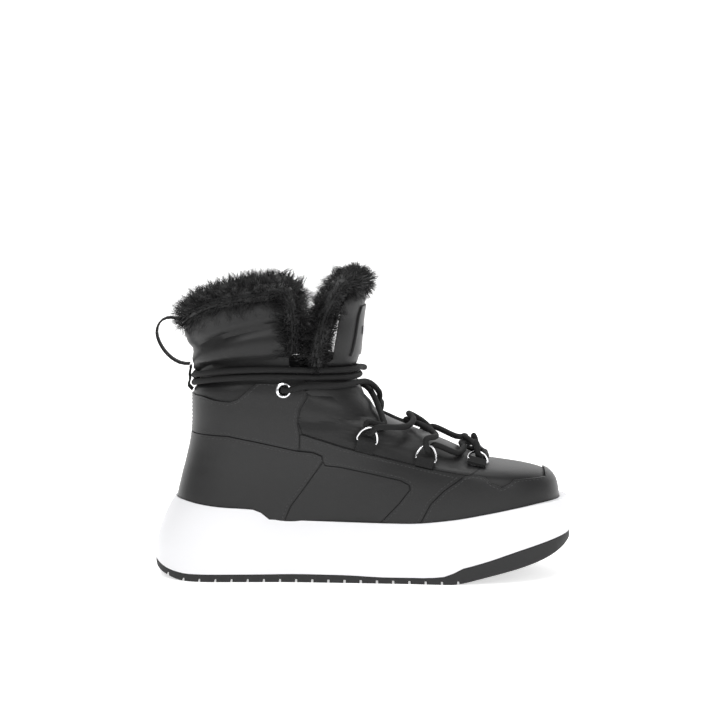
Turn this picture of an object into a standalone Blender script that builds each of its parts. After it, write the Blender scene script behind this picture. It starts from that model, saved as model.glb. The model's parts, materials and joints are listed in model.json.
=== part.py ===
"""Fur-lined platform boot for the right foot, empty and standing on its sole.

The boot is made in the maker's order: outsole and cupped midsole, insole,
a hollow upper over the last, a padded tongue, leather overlays, fur, hardware
and laces. Lengths are metres. While shapes are worked out, x runs from the back
of the heel (0) to the toe, y is zero on the last's own axis, with the lateral side
at -y, and z is zero on the floor. The finished pieces are shifted so that
the origin is the centre of the footprint's box.
"""

import math
import random

import bmesh
import bpy
import numpy as np
from mathutils import Matrix, Vector

# Sole
SOLE_LENGTH = 0.280
BALL_WIDTH = 0.102
WAIST_WIDTH = 0.078
HEEL_WIDTH = 0.078
HEEL_RIM_HEIGHT = 0.0538
WAIST_RIM_HEIGHT = 0.0400
TOE_RIM_HEIGHT = 0.0524
OUTSOLE_THICKNESS = 0.0056
BUMPER_HEIGHT = 0.0300
TOE_SPRING = 0.0244
HEEL_SPRING = 0.0086
HEEL_RAKE = 0.0133
TOE_RAKE = 0.0017
SIDE_RAKE = 0.0035
TOE_SWING = 0.0050
FOOTBED_HEIGHT = 0.0300
GROOVE_WIDTH = 0.0015
GROOVE_DEPTH = 0.0022
GROOVE_PITCH = 0.01075
FIRST_GROOVE = 0.0095
GROOVE_COUNT = 19

# Upper
UPPER_LENGTH = 0.2610
UPPER_BACK = 0.0138
UPPER_BALL_WIDTH = 0.0885
UPPER_HEEL_WIDTH = 0.0625
ANKLE_WIDTH = 0.0760
COLLAR_WIDTH = 0.0850
INSTEP_HEIGHT = 0.1050
ANKLE_HEIGHT = 0.1310
COLLAR_HEIGHT = 0.1900
WALL = 0.0026
OVERLAY = 0.0012
SIDE_PANEL = 0.0007
TONGUE_PAD = 0.0040
TONGUE_FLANGE = 0.0018
TONGUE_TUCK = 0.0070
TONGUE_TOP = 0.1950
INSOLE_THICKNESS = 0.0050
GAP = 0.0003

# Trim
LACE_DIAMETER = 0.0040
LACE_SPACING = 0.0049
EYELET_RADIUS = 0.0052
EYELET_HOLE = 0.0032
EYELET_LIP = 0.0009
RING_WIRE = 0.0015
RING_WIDTH = 0.0150
RING_HEIGHT = 0.0110
WEBBING_WIDTH = 0.0120
WEBBING_THICKNESS = 0.0009
PULL_LOOP_WIDTH = 0.0100
PULL_LOOP_THICKNESS = 0.0013
KEEPER_WIDTH = 0.0120
KEEPER_THICKNESS = 0.0011
PATCH_THICKNESS = 0.0010
BADGE_LENGTH = 0.0160
BADGE_HEIGHT = 0.0060
BADGE_THICKNESS = 0.0010
FUR_RADIUS = 0.0085
FUR_LOCK = 0.0045
TONGUE_FUR_DEPTH = 0.0070

# Fineness of the faceted forms
SOLE_COLUMNS = 17
UPPER_COLUMNS = 14
LACE_SIDES = 5

LATERAL, MEDIAL = -1, 1
ACROSS = np.array((0.0, 1.0, 0.0))

BLACK_LEATHER = ("black_leather", (0.030, 0.030, 0.031), 0.42, 0.0)
BLACK_PADDING = ("black_padding", (0.024, 0.024, 0.025), 0.62, 0.0)
BLACK_FUR = ("black_fur", (0.020, 0.020, 0.021), 0.92, 0.0)
BLACK_CORD = ("black_cord", (0.016, 0.016, 0.017), 0.80, 0.0)
BLACK_RUBBER = ("black_rubber", (0.045, 0.045, 0.046), 0.70, 0.0)
WHITE_SOLE = ("white_sole", (0.82, 0.82, 0.82), 0.50, 0.0)
SILVER = ("silver", (0.78, 0.78, 0.80), 0.22, 1.0)

# Midsole and outsole tables

# Share of the sole's length, lateral half width, medial half width.
SOLE_PLAN = (
    (0.00, 0.485 * HEEL_WIDTH, 0.485 * HEEL_WIDTH),
    (0.15, 0.500 * HEEL_WIDTH, 0.500 * HEEL_WIDTH),
    (0.30, 0.495 * HEEL_WIDTH, 0.470 * HEEL_WIDTH),
    (0.44, 0.530 * WAIST_WIDTH, 0.445 * WAIST_WIDTH),
    (0.60, 0.450 * BALL_WIDTH, 0.410 * BALL_WIDTH),
    (0.72, 0.502 * BALL_WIDTH, 0.478 * BALL_WIDTH),
    (0.82, 0.505 * BALL_WIDTH, 0.490 * BALL_WIDTH),
    (1.00, 0.490 * BALL_WIDTH, 0.480 * BALL_WIDTH),
)
HEEL_ROUND = 0.145 * SOLE_LENGTH
TOE_ROUND = 0.250 * SOLE_LENGTH

# Share of the sole's length, height of the rim.
RIM_LINE = (
    (0.000, 1.000 * HEEL_RIM_HEIGHT),
    (0.060, 0.985 * HEEL_RIM_HEIGHT),
    (0.110, 0.948 * HEEL_RIM_HEIGHT),
    (0.161, 0.920 * HEEL_RIM_HEIGHT),
    (0.240, 0.894 * HEEL_RIM_HEIGHT),
    (0.258, 0.855 * HEEL_RIM_HEIGHT),
    (0.276, 1.040 * WAIST_RIM_HEIGHT),
    (0.330, 1.030 * WAIST_RIM_HEIGHT),
    (0.505, 1.000 * WAIST_RIM_HEIGHT),
    (0.600, 0.992 * WAIST_RIM_HEIGHT),
    (0.713, 0.812 * TOE_RIM_HEIGHT),
    (0.790, 0.878 * TOE_RIM_HEIGHT),
    (0.866, 0.943 * TOE_RIM_HEIGHT),
    (0.930, 0.985 * TOE_RIM_HEIGHT),
    (1.000, 1.000 * TOE_RIM_HEIGHT),
)

# Share of the sole's length, height of the seam between outsole and midsole.
SEAM_LINE = (
    (0.000, HEEL_SPRING + 0.60 * OUTSOLE_THICKNESS),
    (0.020, 0.40 * HEEL_SPRING + 0.97 * OUTSOLE_THICKNESS),
    (0.045, 0.12 * HEEL_SPRING + 1.00 * OUTSOLE_THICKNESS),
    (0.085, 0.94 * OUTSOLE_THICKNESS),
    (0.245, 0.96 * OUTSOLE_THICKNESS),
    (0.350, 1.02 * OUTSOLE_THICKNESS),
    (0.450, 0.98 * OUTSOLE_THICKNESS),
    (0.560, 0.78 * OUTSOLE_THICKNESS),
    (0.640, 0.80 * OUTSOLE_THICKNESS),
    (0.704, 1.10 * OUTSOLE_THICKNESS),
    (0.724, 0.340 * BUMPER_HEIGHT),
    (0.745, 0.392 * BUMPER_HEIGHT),
    (0.789, 0.504 * BUMPER_HEIGHT),
    (0.866, 0.717 * BUMPER_HEIGHT),
    (0.943, 0.890 * BUMPER_HEIGHT),
    (1.000, 1.000 * BUMPER_HEIGHT),
)

# Share of the sole's length, height of the tread above the floor.
TREAD_LINE = (
    (0.000, 1.00 * HEEL_SPRING),
    (0.007, 0.64 * HEEL_SPRING),
    (0.030, 0.33 * HEEL_SPRING),
    (0.060, 0.06 * HEEL_SPRING),
    (0.080, 0.0),
    (0.715, 0.0),
    (0.745, 0.060 * TOE_SPRING),
    (0.790, 0.185 * TOE_SPRING),
    (0.836, 0.305 * TOE_SPRING),
    (0.886, 0.440 * TOE_SPRING),
    (0.943, 0.640 * TOE_SPRING),
    (0.982, 0.860 * TOE_SPRING),
    (1.000, 1.00 * TOE_SPRING),
)

# Share of the midsole's height, share of the heel, toe and side rake used there.
MIDSOLE_RAKE = (
    (0.00, 0.00, 0.00, 0.00),
    (0.28, 0.07, 0.10, -0.10),
    (0.62, 0.37, 0.35, 0.12),
    (0.86, 0.72, 0.70, 0.55),
    (1.00, 1.00, 1.00, 1.00),
)

# Share of the upper's length, height of the floor inside the cup.
FOOTBED_LINE = (
    (0.00, 1.22 * FOOTBED_HEIGHT),
    (0.18, 1.18 * FOOTBED_HEIGHT),
    (0.42, 1.02 * FOOTBED_HEIGHT),
    (0.70, 0.90 * FOOTBED_HEIGHT),
    (0.85, 1.00 * FOOTBED_HEIGHT),
    (1.00, 1.24 * FOOTBED_HEIGHT),
)

# Sections of the last, from the floor of the cup to the collar. Front and back are
# shares of the upper's length, counted from its back, and their rounds are too.
# Rise lifts the section between its ends, as a share of the collar's height, and
# puff is its padding or its crease.
BOOT_SECTIONS = (
    # front x, front z, back x, back z, front round, back round, rise, puff
    (0.986, 0.800 * TOE_RIM_HEIGHT, 0.004, 0.800 * HEEL_RIM_HEIGHT, 0.238, 0.132, 0.000, 0.0000),
    (0.989, 0.880 * TOE_RIM_HEIGHT, 0.006, 0.874 * HEEL_RIM_HEIGHT, 0.238, 0.132, 0.000, 0.0000),
    (0.987, 1.030 * TOE_RIM_HEIGHT, 0.010, 1.022 * HEEL_RIM_HEIGHT, 0.238, 0.132, 0.000, 0.0000),
    (0.981, 0.595 * INSTEP_HEIGHT, 0.017, 0.481 * ANKLE_HEIGHT, 0.238, 0.132, 0.000, 0.0000),
    (0.962, 0.657 * INSTEP_HEIGHT, 0.023, 0.531 * ANKLE_HEIGHT, 0.236, 0.132, 0.000, 0.0000),
    (0.928, 0.685 * INSTEP_HEIGHT, 0.029, 0.573 * ANKLE_HEIGHT, 0.232, 0.133, 0.000, 0.0000),
    (0.878, 0.704 * INSTEP_HEIGHT, 0.034, 0.615 * ANKLE_HEIGHT, 0.226, 0.134, 0.000, 0.0000),
    (0.821, 0.724 * INSTEP_HEIGHT, 0.039, 0.656 * ANKLE_HEIGHT, 0.220, 0.135, 0.000, 0.0000),
    (0.767, 0.774 * INSTEP_HEIGHT, 0.043, 0.698 * ANKLE_HEIGHT, 0.214, 0.136, 0.000, 0.0000),
    (0.713, 0.838 * INSTEP_HEIGHT, 0.046, 0.737 * ANKLE_HEIGHT, 0.208, 0.137, 0.000, 0.0000),
    (0.660, 0.894 * INSTEP_HEIGHT, 0.048, 0.779 * ANKLE_HEIGHT, 0.203, 0.138, 0.000, 0.0000),
    (0.606, 0.948 * INSTEP_HEIGHT, 0.049, 0.821 * ANKLE_HEIGHT, 0.198, 0.138, 0.000, 0.0000),
    (0.554, 1.003 * INSTEP_HEIGHT, 0.049, 0.866 * ANKLE_HEIGHT, 0.193, 0.139, 0.000, 0.0000),
    (0.518, 0.851 * ANKLE_HEIGHT, 0.049, 0.908 * ANKLE_HEIGHT, 0.188, 0.140, 0.006, 0.0000),
    (0.491, 0.945 * ANKLE_HEIGHT, 0.048, 0.954 * ANKLE_HEIGHT, 0.184, 0.142, 0.012, 0.0002),
    (0.468, 0.995 * ANKLE_HEIGHT, 0.056, 0.977 * ANKLE_HEIGHT, 0.180, 0.144, 0.020, -0.0008),
    (0.463, 0.726 * COLLAR_HEIGHT, 0.061, 0.695 * COLLAR_HEIGHT, 0.178, 0.146, 0.030, -0.0016),
    (0.473, 0.774 * COLLAR_HEIGHT, 0.060, 0.718 * COLLAR_HEIGHT, 0.178, 0.150, 0.046, -0.0010),
    (0.476, 0.805 * COLLAR_HEIGHT, 0.044, 0.732 * COLLAR_HEIGHT, 0.180, 0.154, 0.048, 0.0006),
    (0.479, 0.858 * COLLAR_HEIGHT, 0.042, 0.755 * COLLAR_HEIGHT, 0.182, 0.158, 0.050, 0.0012),
    (0.484, 0.926 * COLLAR_HEIGHT, 0.045, 0.783 * COLLAR_HEIGHT, 0.184, 0.162, 0.054, -0.0012),
    (0.487, 0.953 * COLLAR_HEIGHT, 0.035, 0.811 * COLLAR_HEIGHT, 0.186, 0.166, 0.056, 0.0006),
    (0.490, 0.979 * COLLAR_HEIGHT, 0.028, 0.847 * COLLAR_HEIGHT, 0.188, 0.170, 0.057, 0.0010),
    (0.491, 1.000 * COLLAR_HEIGHT, 0.023, 0.885 * COLLAR_HEIGHT, 0.190, 0.172, 0.058, 0.0000),
)
COLLAR_LEVEL = len(BOOT_SECTIONS) - 1
ANKLE_LEVEL = 14

# Share of the upper's length, half width at the feather on the lateral side, on
# the medial side, at the ankle and at the collar.
BOOT_WIDTHS = (
    (0.00, 0.50 * UPPER_HEEL_WIDTH, 0.50 * UPPER_HEEL_WIDTH, 0.460 * ANKLE_WIDTH, 0.480 * COLLAR_WIDTH),
    (0.14, 0.51 * UPPER_HEEL_WIDTH, 0.50 * UPPER_HEEL_WIDTH, 0.485 * ANKLE_WIDTH, 0.500 * COLLAR_WIDTH),
    (0.30, 0.54 * UPPER_HEEL_WIDTH, 0.49 * UPPER_HEEL_WIDTH, 0.500 * ANKLE_WIDTH, 0.500 * COLLAR_WIDTH),
    (0.42, 0.39 * UPPER_BALL_WIDTH, 0.315 * UPPER_BALL_WIDTH, 0.480 * ANKLE_WIDTH, 0.485 * COLLAR_WIDTH),
    (0.58, 0.44 * UPPER_BALL_WIDTH, 0.39 * UPPER_BALL_WIDTH, 0.450 * ANKLE_WIDTH, 0.470 * COLLAR_WIDTH),
    (0.72, 0.50 * UPPER_BALL_WIDTH, 0.47 * UPPER_BALL_WIDTH, 0.440 * ANKLE_WIDTH, 0.460 * COLLAR_WIDTH),
    (0.84, 0.50 * UPPER_BALL_WIDTH, 0.48 * UPPER_BALL_WIDTH, 0.430 * ANKLE_WIDTH, 0.460 * COLLAR_WIDTH),
    (1.00, 0.48 * UPPER_BALL_WIDTH, 0.47 * UPPER_BALL_WIDTH, 0.430 * ANKLE_WIDTH, 0.460 * COLLAR_WIDTH),
)

# Panel outlines seen from the side, each point as a share of the sole's length and
# of the collar's height.
THROAT = (
    (0.805, 0.408),
    (0.778, 0.396),
    (0.750, 0.376),
    (0.686, 0.392),
    (0.612, 0.416),
    (0.536, 0.444),
    (0.456, 0.474),
    (0.356, 0.522),
    (0.346, 0.565),
    (0.352, 0.610),
    (0.368, 0.650),
    (0.366, 0.700),
    (0.326, 0.760),
    (0.322, 0.870),
    (0.320, 1.080),
    (0.620, 1.080),
    (0.620, 0.640),
    (0.740, 0.480),
)
COUNTER = (
    (-0.05, 0.1),
    (0.314, 0.1),
    (0.314, 0.22),
    (0.327, 0.268),
    (0.357, 0.328),
    (0.386, 0.388),
    (0.4025, 0.427),
    (0.401, 0.442),
    (0.381, 0.455),
    (0.346, 0.46),
    (0.246, 0.492),
    (0.179, 0.511),
    (-0.05, 0.511),
)
QUARTER = (
    (-0.05, 0.515),
    (0.179, 0.515),
    (0.246, 0.496),
    (0.343, 0.4645),
    (0.348, 0.475),
    (0.3485, 0.522),
    (0.3425, 0.567),
    (0.3475, 0.612),
    (0.362, 0.652),
    (0.362, 0.692),
    (0.255, 0.706),
    (0.221, 0.663),
    (0.2025, 0.641),
    (0.184, 0.632),
    (0.1475, 0.636),
    (0.118, 0.646),
    (-0.05, 0.647),
)
EYESTAY = (
    (0.352, 0.517),
    (0.352, 0.4665),
    (0.382, 0.4605),
    (0.4045, 0.4465),
    (0.4065, 0.427),
    (0.411, 0.4125),
    (0.445, 0.407),
    (0.521, 0.384),
    (0.59, 0.3615),
    (0.611, 0.345),
    (0.613, 0.328),
    (0.586, 0.277),
    (0.544, 0.2116),
    (0.535, 0.1),
    (0.625, 0.1),
    (0.6345, 0.2116),
    (0.6575, 0.2795),
    (0.688, 0.325),
    (0.7365, 0.3755),
    (0.728, 0.3765),
    (0.686, 0.3885),
    (0.612, 0.4125),
    (0.536, 0.4405),
    (0.456, 0.4705),
    (0.356, 0.5185),
)
SIDE_PANEL_OUTLINE = (
    (0.317, 0.1),
    (0.532, 0.1),
    (0.541, 0.2116),
    (0.583, 0.279),
    (0.6095, 0.329),
    (0.6075, 0.3435),
    (0.588, 0.358),
    (0.52, 0.38),
    (0.444, 0.403),
    (0.409, 0.409),
    (0.4055, 0.42),
    (0.389, 0.386),
    (0.36, 0.326),
    (0.33, 0.266),
    (0.317, 0.22),
)
TOE_GUARD = (
    (0.632, 0.1),
    (0.639, 0.215),
    (0.661, 0.2785),
    (0.692, 0.325),
    (0.7415, 0.3765),
    (0.7625, 0.3785),
    (0.789, 0.37),
    (0.801, 0.3505),
    (0.828, 0.333),
    (0.847, 0.345),
    (0.8585, 0.359),
    (0.937, 0.357),
    (0.94, 0.5),
    (1.1, 0.5),
    (1.1, 0.1),
)

# What the tongue leaves free behind its edges above the laces, and above its top.
TONGUE_EDGE = (
    (-0.10, 0.740),
    (0.345, 0.740),
    (0.428, 0.775),
    (0.438, 0.860),
    (0.450, 0.965),
    (0.475, 1.010),
    (0.560, 1.026),
    (0.560, 1.300),
    (-0.10, 1.300),
)

# The fur roll in front of the cuff's edge, and the tongue's fur roll: shares of the
# sole's length and of the collar's height.
FUR_EDGE = 0.318
TONGUE_FUR = ((0.414, 0.815), (0.418, 0.870), (0.424, 0.930), (0.438, 0.985))

# The tongue's patch from the front: shares of the collar's width and height.
PATCH_OUTLINE = ((-0.25, 0.785), (0.25, 0.785), (0.18, 0.958), (-0.18, 0.958))
BADGE_PLACE = 0.870

# The pull loop: how far behind its foot and how far up to its top, as shares of its height.
PULL_LOOP = ((0.19, 0.01), (0.40, 0.11), (0.60, 0.30), (0.74, 0.54), (0.79, 0.74), (0.76, 0.92), (0.66, 1.05), (0.52, 1.11), (0.34, 1.10))

# Each ring's bar: share of the sole's length, of the collar's height, and how far
# its strap reaches down over the pad, as a share of the collar's height.
RINGS = (
    (0.770, 0.404, 0.026),
    (0.646, 0.425, 0.024),
    (0.508, 0.496, 0.040),
)

# Sections of the shells that follow the last
LEVELS = (0, 1.6, 3, 4, 5, 6, 7.2, 8.5, 10, 12, 13.2, 14.2, 15, 16, 17, 18.4, 20, 21.5, 23)


# Curves


def smooth(table, at):
    """Each later column of a table at the places asked for, as a curve that never overshoots."""
    rows = np.array(table, float)
    places, values = rows[:, 0], rows[:, 1:]
    at = np.clip(np.asarray(at, float), places[0], places[-1])
    step = np.diff(places)[:, None]
    slope = np.diff(values, axis=0) / step
    tangent = np.zeros_like(values)
    before, after = slope[:-1], slope[1:]
    same_way = before * after > 0
    total = np.where(same_way, before + after, 1.0)
    tangent[1:-1] = np.where(same_way, 2 * before * after / total, 0.0)
    tangent[0], tangent[-1] = slope[0], slope[-1]
    index = np.clip(np.searchsorted(places, at, side="right") - 1, 0, len(places) - 2)
    width = step[index, 0]
    share = ((at - places[index]) / width)[..., None]
    width = width[..., None]
    return (
        values[index] * (1 + 2 * share) * (1 - share) ** 2
        + values[index + 1] * (3 - 2 * share) * share**2
        + tangent[index] * width * share * (1 - share) ** 2
        - tangent[index + 1] * width * share**2 * (1 - share)
    )


def end_round(distance, depth, power=2.2):
    """How full a plan is at a distance from its end: 0 at the end, 1 past the rounded depth."""
    share = np.clip(distance / depth, 0.0, 1.0)
    return (1 - (1 - share) ** power) ** (1 / power)


def ease(value):
    value = np.clip(value, 0.0, 1.0)
    return value * value * (3 - 2 * value)


def round_trip(columns):
    """Places and sides once round a plan: from the front along the lateral side to the back and along the medial side."""
    there = (1 + np.cos(np.pi * np.arange(columns + 1) / columns)) / 2
    places = np.concatenate([there, there[-2:0:-1]])
    sides = np.concatenate([np.full(columns + 1, LATERAL), np.full(columns - 1, MEDIAL)])
    return places, sides


def axis_sway(x):
    """The last swings towards the big toe in front of the waist."""
    return TOE_SWING * ease((x / SOLE_LENGTH - 0.50) / 0.50)


# Surfaces of sole and last


def sole_ring(x_back, x_front, height_line, inset, places, sides):
    """One level of the sole: its plan between two ends, drawn in by an inset."""
    x = x_back + (x_front - x_back) * places
    plan = smooth(SOLE_PLAN, x / SOLE_LENGTH)
    half = np.where(sides == LATERAL, plan[:, 0], plan[:, 1]) - inset
    full = end_round(x - x_back, HEEL_ROUND) * end_round(x_front - x, TOE_ROUND)
    z = height_line(x)
    return np.stack([x, axis_sway(x) + sides * half * full, z], axis=1)


def line_height(table):
    return lambda x: smooth(table, x / SOLE_LENGTH)[..., 0]


def footbed(x):
    return smooth(FOOTBED_LINE, (x - UPPER_BACK) / UPPER_LENGTH)[..., 0]


def boot_point(level, place, side):
    """Points of the last's outer surface.

    A level is a section, 0 at the cup's floor and COLLAR_LEVEL at the collar. A place runs
    along the section from the back (0) to the front (1).
    """
    level, place, side = np.broadcast_arrays(np.asarray(level, float), place, side)
    numbered = [(number, *row) for number, row in enumerate(BOOT_SECTIONS)]
    front_x, front_z, back_x, back_z, front_round, back_round, rise, puff = np.moveaxis(
        smooth(numbered, level), -1, 0
    )
    length = front_x - back_x
    x_share = back_x + length * place
    widths = smooth(BOOT_WIDTHS, x_share)
    feather = np.where(side == LATERAL, widths[..., 0], widths[..., 1])
    up_foot = ease((level - 1.0) / (ANKLE_LEVEL - 1.0))
    up_shaft = ease((level - ANKLE_LEVEL) / (COLLAR_LEVEL - ANKLE_LEVEL))
    half = feather + (widths[..., 2] - feather) * up_foot + (widths[..., 3] - widths[..., 2]) * up_shaft
    full = end_round(place * length, back_round) * end_round((1 - place) * length, front_round)
    x = UPPER_BACK + UPPER_LENGTH * x_share
    z = back_z + (front_z - back_z) * place + rise * COLLAR_HEIGHT * np.sin(np.pi * place**0.6)
    floor = footbed(x) + GAP
    z = np.where(level < 1.0, floor + (z - floor) * ease(level), z)
    y = axis_sway(x) + side * (half + puff) * full
    return np.stack([x, y, z], axis=-1)


def boot_grid(levels, columns, out):
    """Closed rings of the last's surface, moved off it along its own normals."""
    places, sides = round_trip(columns)
    level, place = np.meshgrid(levels, places, indexing="ij")
    side = np.broadcast_to(sides, level.shape)
    points = boot_point(level, place, side)
    along = np.roll(points, -1, axis=1) - np.roll(points, 1, axis=1)
    up = np.gradient(points, axis=0)
    normal = np.cross(up, along)
    normal /= np.linalg.norm(normal, axis=2, keepdims=True)
    return points + normal * out


# Meshes


def solid(name, points, faces, look):
    """A closed mesh with its faces pointing out."""
    mesh = bpy.data.meshes.new(name)
    mesh.from_pydata([tuple(point) for point in points], [], faces)
    work = bmesh.new()
    work.from_mesh(mesh)
    bmesh.ops.recalc_face_normals(work, faces=work.faces[:])
    if work.calc_volume(signed=True) < 0:
        bmesh.ops.reverse_faces(work, faces=work.faces[:])
    work.to_mesh(mesh)
    work.free()
    piece = bpy.data.objects.new(name, mesh)
    bpy.context.scene.collection.objects.link(piece)
    if look is not None:
        mesh.materials.append(material(look))
    return piece


def material(look):
    name, colour, roughness, metallic = look
    found = bpy.data.materials.get(name)
    if found is not None:
        return found
    made = bpy.data.materials.new(name)
    made.use_nodes = True
    shader = made.node_tree.nodes["Principled BSDF"]
    shader.inputs["Base Color"].default_value = (*colour, 1.0)
    shader.inputs["Roughness"].default_value = roughness
    shader.inputs["Metallic"].default_value = metallic
    return made


def side_faces(rings, count, rising=None):
    """Triangles between rings of the same number of points.

    Rings past the rising ones run down again, and their diagonals are turned so that
    two offsets of one surface are split alike.
    """
    faces = []
    for ring in range(rings - 1):
        low, high = ring * count, (ring + 1) * count
        for index in range(count):
            after = (index + 1) % count
            if rising is None or ring < rising:
                faces.append((low + index, low + after, high + after))
                faces.append((low + index, high + after, high + index))
            else:
                faces.append((low + index, low + after, high + index))
                faces.append((low + after, high + after, high + index))
    return faces


def strip_cap(start, columns):
    """A lid over one ring of a plan: strips between the lateral and the medial side."""
    last = 2 * columns
    faces = [(start, start + 1, start + last - 1)]
    for index in range(1, columns - 1):
        near, far = start + index, start + last - index
        faces.append((near, near + 1, far - 1, far))
    faces.append((start + columns - 1, start + columns, start + columns + 1))
    return faces


def lofted(name, rings, look):
    """A closed body through rings of a plan, with a lid on the first and the last."""
    count = rings.shape[1]
    columns = count // 2
    faces = side_faces(len(rings), count)
    faces += strip_cap(0, columns)
    faces += strip_cap((len(rings) - 1) * count, columns)
    return solid(name, rings.reshape(-1, 3), faces, look)


def tube(name, rings, look, closed=False, rising=None):
    """A closed body through small rings along a path."""
    count = rings.shape[1]
    faces = side_faces(len(rings), count, rising)
    if closed:
        last = (len(rings) - 1) * count
        faces += [
            (last + index, last + (index + 1) % count, (index + 1) % count, index)
            for index in range(count)
        ]
    else:
        faces.append(tuple(range(count)))
        faces.append(tuple(range(len(rings) * count - count, len(rings) * count)))
    return solid(name, rings.reshape(-1, 3), faces, look)


def side_prism(name, outline, near=-0.5 * SOLE_LENGTH, far=0.5 * SOLE_LENGTH):
    """An outline seen from the side, in shares of sole length and collar height, drawn across."""
    x_z = np.array(outline, float) * (SOLE_LENGTH, COLLAR_HEIGHT)
    return prism(name, x_z, near, far)


def prism(name, x_z, near, far):
    count = len(x_z)
    points = [(x, y, z) for y in (near, far) for x, z in x_z]
    faces = [tuple(range(count)), tuple(range(2 * count - 1, count - 1, -1))]
    faces += side_faces(2, count)
    body = solid(name, points, faces, None)
    work = bmesh.new()
    work.from_mesh(body.data)
    bmesh.ops.triangulate(work, faces=work.faces[:])
    work.to_mesh(body.data)
    work.free()
    return body


def box(name, low, high):
    corners = [(x, z) for x, z in ((low[0], low[2]), (high[0], low[2]), (high[0], high[2]), (low[0], high[2]))]
    return prism(name, np.array(corners), low[1], high[1])


def carve(piece, tool, operation="DIFFERENCE", keep_tool=False):
    """Cut, join or intersect a piece with a tool, and keep the result in its mesh."""
    step = piece.modifiers.new(operation.lower(), "BOOLEAN")
    step.operation = operation
    step.solver = "EXACT"
    step.object = tool
    graph = bpy.context.evaluated_depsgraph_get()
    result = bpy.data.meshes.new_from_object(piece.evaluated_get(graph))
    old = piece.data
    piece.modifiers.clear()
    piece.data = result
    result.name = piece.name
    bpy.data.meshes.remove(old)
    if not keep_tool:
        drop(tool)
    return piece


def drop(piece):
    mesh = piece.data
    bpy.data.objects.remove(piece)
    bpy.data.meshes.remove(mesh)


def copy_of(piece, name):
    twin = bpy.data.objects.new(name, piece.data.copy())
    bpy.context.scene.collection.objects.link(twin)
    return twin


def largest_body(piece):
    """Keep the largest connected body of a mesh."""
    work = bmesh.new()
    work.from_mesh(piece.data)
    unseen = set(work.verts)
    bodies = []
    while unseen:
        start = unseen.pop()
        body, edge = {start}, [start]
        while edge:
            vertex = edge.pop()
            for link in vertex.link_edges:
                other = link.other_vert(vertex)
                if other not in body:
                    body.add(other)
                    edge.append(other)
        unseen -= body
        bodies.append(body)
    bodies.sort(key=len)
    spare = [vertex for body in bodies[:-1] for vertex in body]
    bmesh.ops.delete(work, geom=spare, context="VERTS")
    bmesh.ops.dissolve_degenerate(work, dist=1e-6, edges=work.edges[:])
    work.to_mesh(piece.data)
    work.free()
    return piece


def shell(name, outer, inner, levels, look=None, above=0.0, below=0.0):
    """The space between two offsets of the last, open below and at the collar."""
    outside = boot_grid(levels, UPPER_COLUMNS, outer)
    inside = boot_grid(levels, UPPER_COLUMNS, inner)
    for grid in (outside, inside):
        grid[-1, :, 2] += above
        grid[0, :, 2] -= below
    return tube(name, np.concatenate([outside, inside[::-1]]), look, True, len(levels))


def grown(outline, distance):
    """A closed outline in shares, moved outwards by a length in metres."""
    x_z = np.array(outline, float) * (SOLE_LENGTH, COLLAR_HEIGHT)
    ahead = np.roll(x_z, -1, axis=0) - x_z
    area = np.sum(x_z[:, 0] * np.roll(x_z[:, 1], -1) - np.roll(x_z[:, 0], -1) * x_z[:, 1])
    normal = np.stack([ahead[:, 1], -ahead[:, 0]], axis=1) * np.sign(area)
    normal /= np.linalg.norm(normal, axis=1, keepdims=True)
    middle = normal + np.roll(normal, 1, axis=0)
    middle /= np.sum(middle * normal, axis=1, keepdims=True)
    return (x_z + middle * distance) / (SOLE_LENGTH, COLLAR_HEIGHT)


# Sole pieces


def make_outsole():
    places, sides = round_trip(SOLE_COLUMNS)
    tread, seam = line_height(TREAD_LINE), line_height(SEAM_LINE)
    edge = GAP * 3
    rings = [
        sole_ring(edge, SOLE_LENGTH - edge, tread, edge, places, sides),
        sole_ring(0.0, SOLE_LENGTH, lambda x: tread(x) + edge, 0.0, places, sides),
        sole_ring(0.0, SOLE_LENGTH, lambda x: seam(x) - GAP, 0.0, places, sides),
    ]
    outsole = lofted("outsole", np.array(rings), BLACK_RUBBER)
    for number in range(GROOVE_COUNT):
        x = FIRST_GROOVE + number * GROOVE_PITCH
        floor = float(tread(np.array([x]))[0])
        cut = box(
            "groove",
            (x - GROOVE_WIDTH / 2, -BALL_WIDTH, floor - GROOVE_DEPTH),
            (x + GROOVE_WIDTH / 2, BALL_WIDTH, floor + GROOVE_DEPTH),
        )
        carve(outsole, cut)
    return outsole


def make_midsole():
    places, sides = round_trip(SOLE_COLUMNS)
    rim, seam = line_height(RIM_LINE), line_height(SEAM_LINE)
    rings = []
    for share, heel, toe, side in MIDSOLE_RAKE:
        rings.append(
            sole_ring(
                heel * HEEL_RAKE,
                SOLE_LENGTH - toe * TOE_RAKE,
                lambda x: seam(x) + (rim(x) - seam(x)) * share,
                side * SIDE_RAKE,
                places,
                sides,
            )
        )
    midsole = lofted("midsole", np.array(rings), WHITE_SOLE)
    recess = boot_grid(LEVELS[:3], UPPER_COLUMNS, OVERLAY + 2 * GAP)
    recess[0, :, 2] -= GAP
    carve(midsole, lofted("recess", recess, None))
    return midsole


def make_insole():
    plan = boot_grid(LEVELS[:2], UPPER_COLUMNS, -WALL - 3 * GAP)
    ring = plan[0].copy()
    ring[:, 2] = footbed(ring[:, 0]) + GAP
    top = ring + (0.0, 0.0, INSOLE_THICKNESS)
    return lofted("insole", np.array([ring, top]), BLACK_PADDING)


# Upper, tongue and overlays


def make_upper():
    upper = shell("upper", 0.0, -WALL, LEVELS, BLACK_PADDING)
    carve(upper, side_prism("throat", THROAT))
    return upper


def upper_clearance(outer):
    """The room that the upper's wall takes, with a gap all round it."""
    room = shell("room", outer, -WALL - GAP, LEVELS, None, GAP, 2 * GAP)
    return carve(room, side_prism("throat", grown(THROAT, -GAP)))


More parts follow.
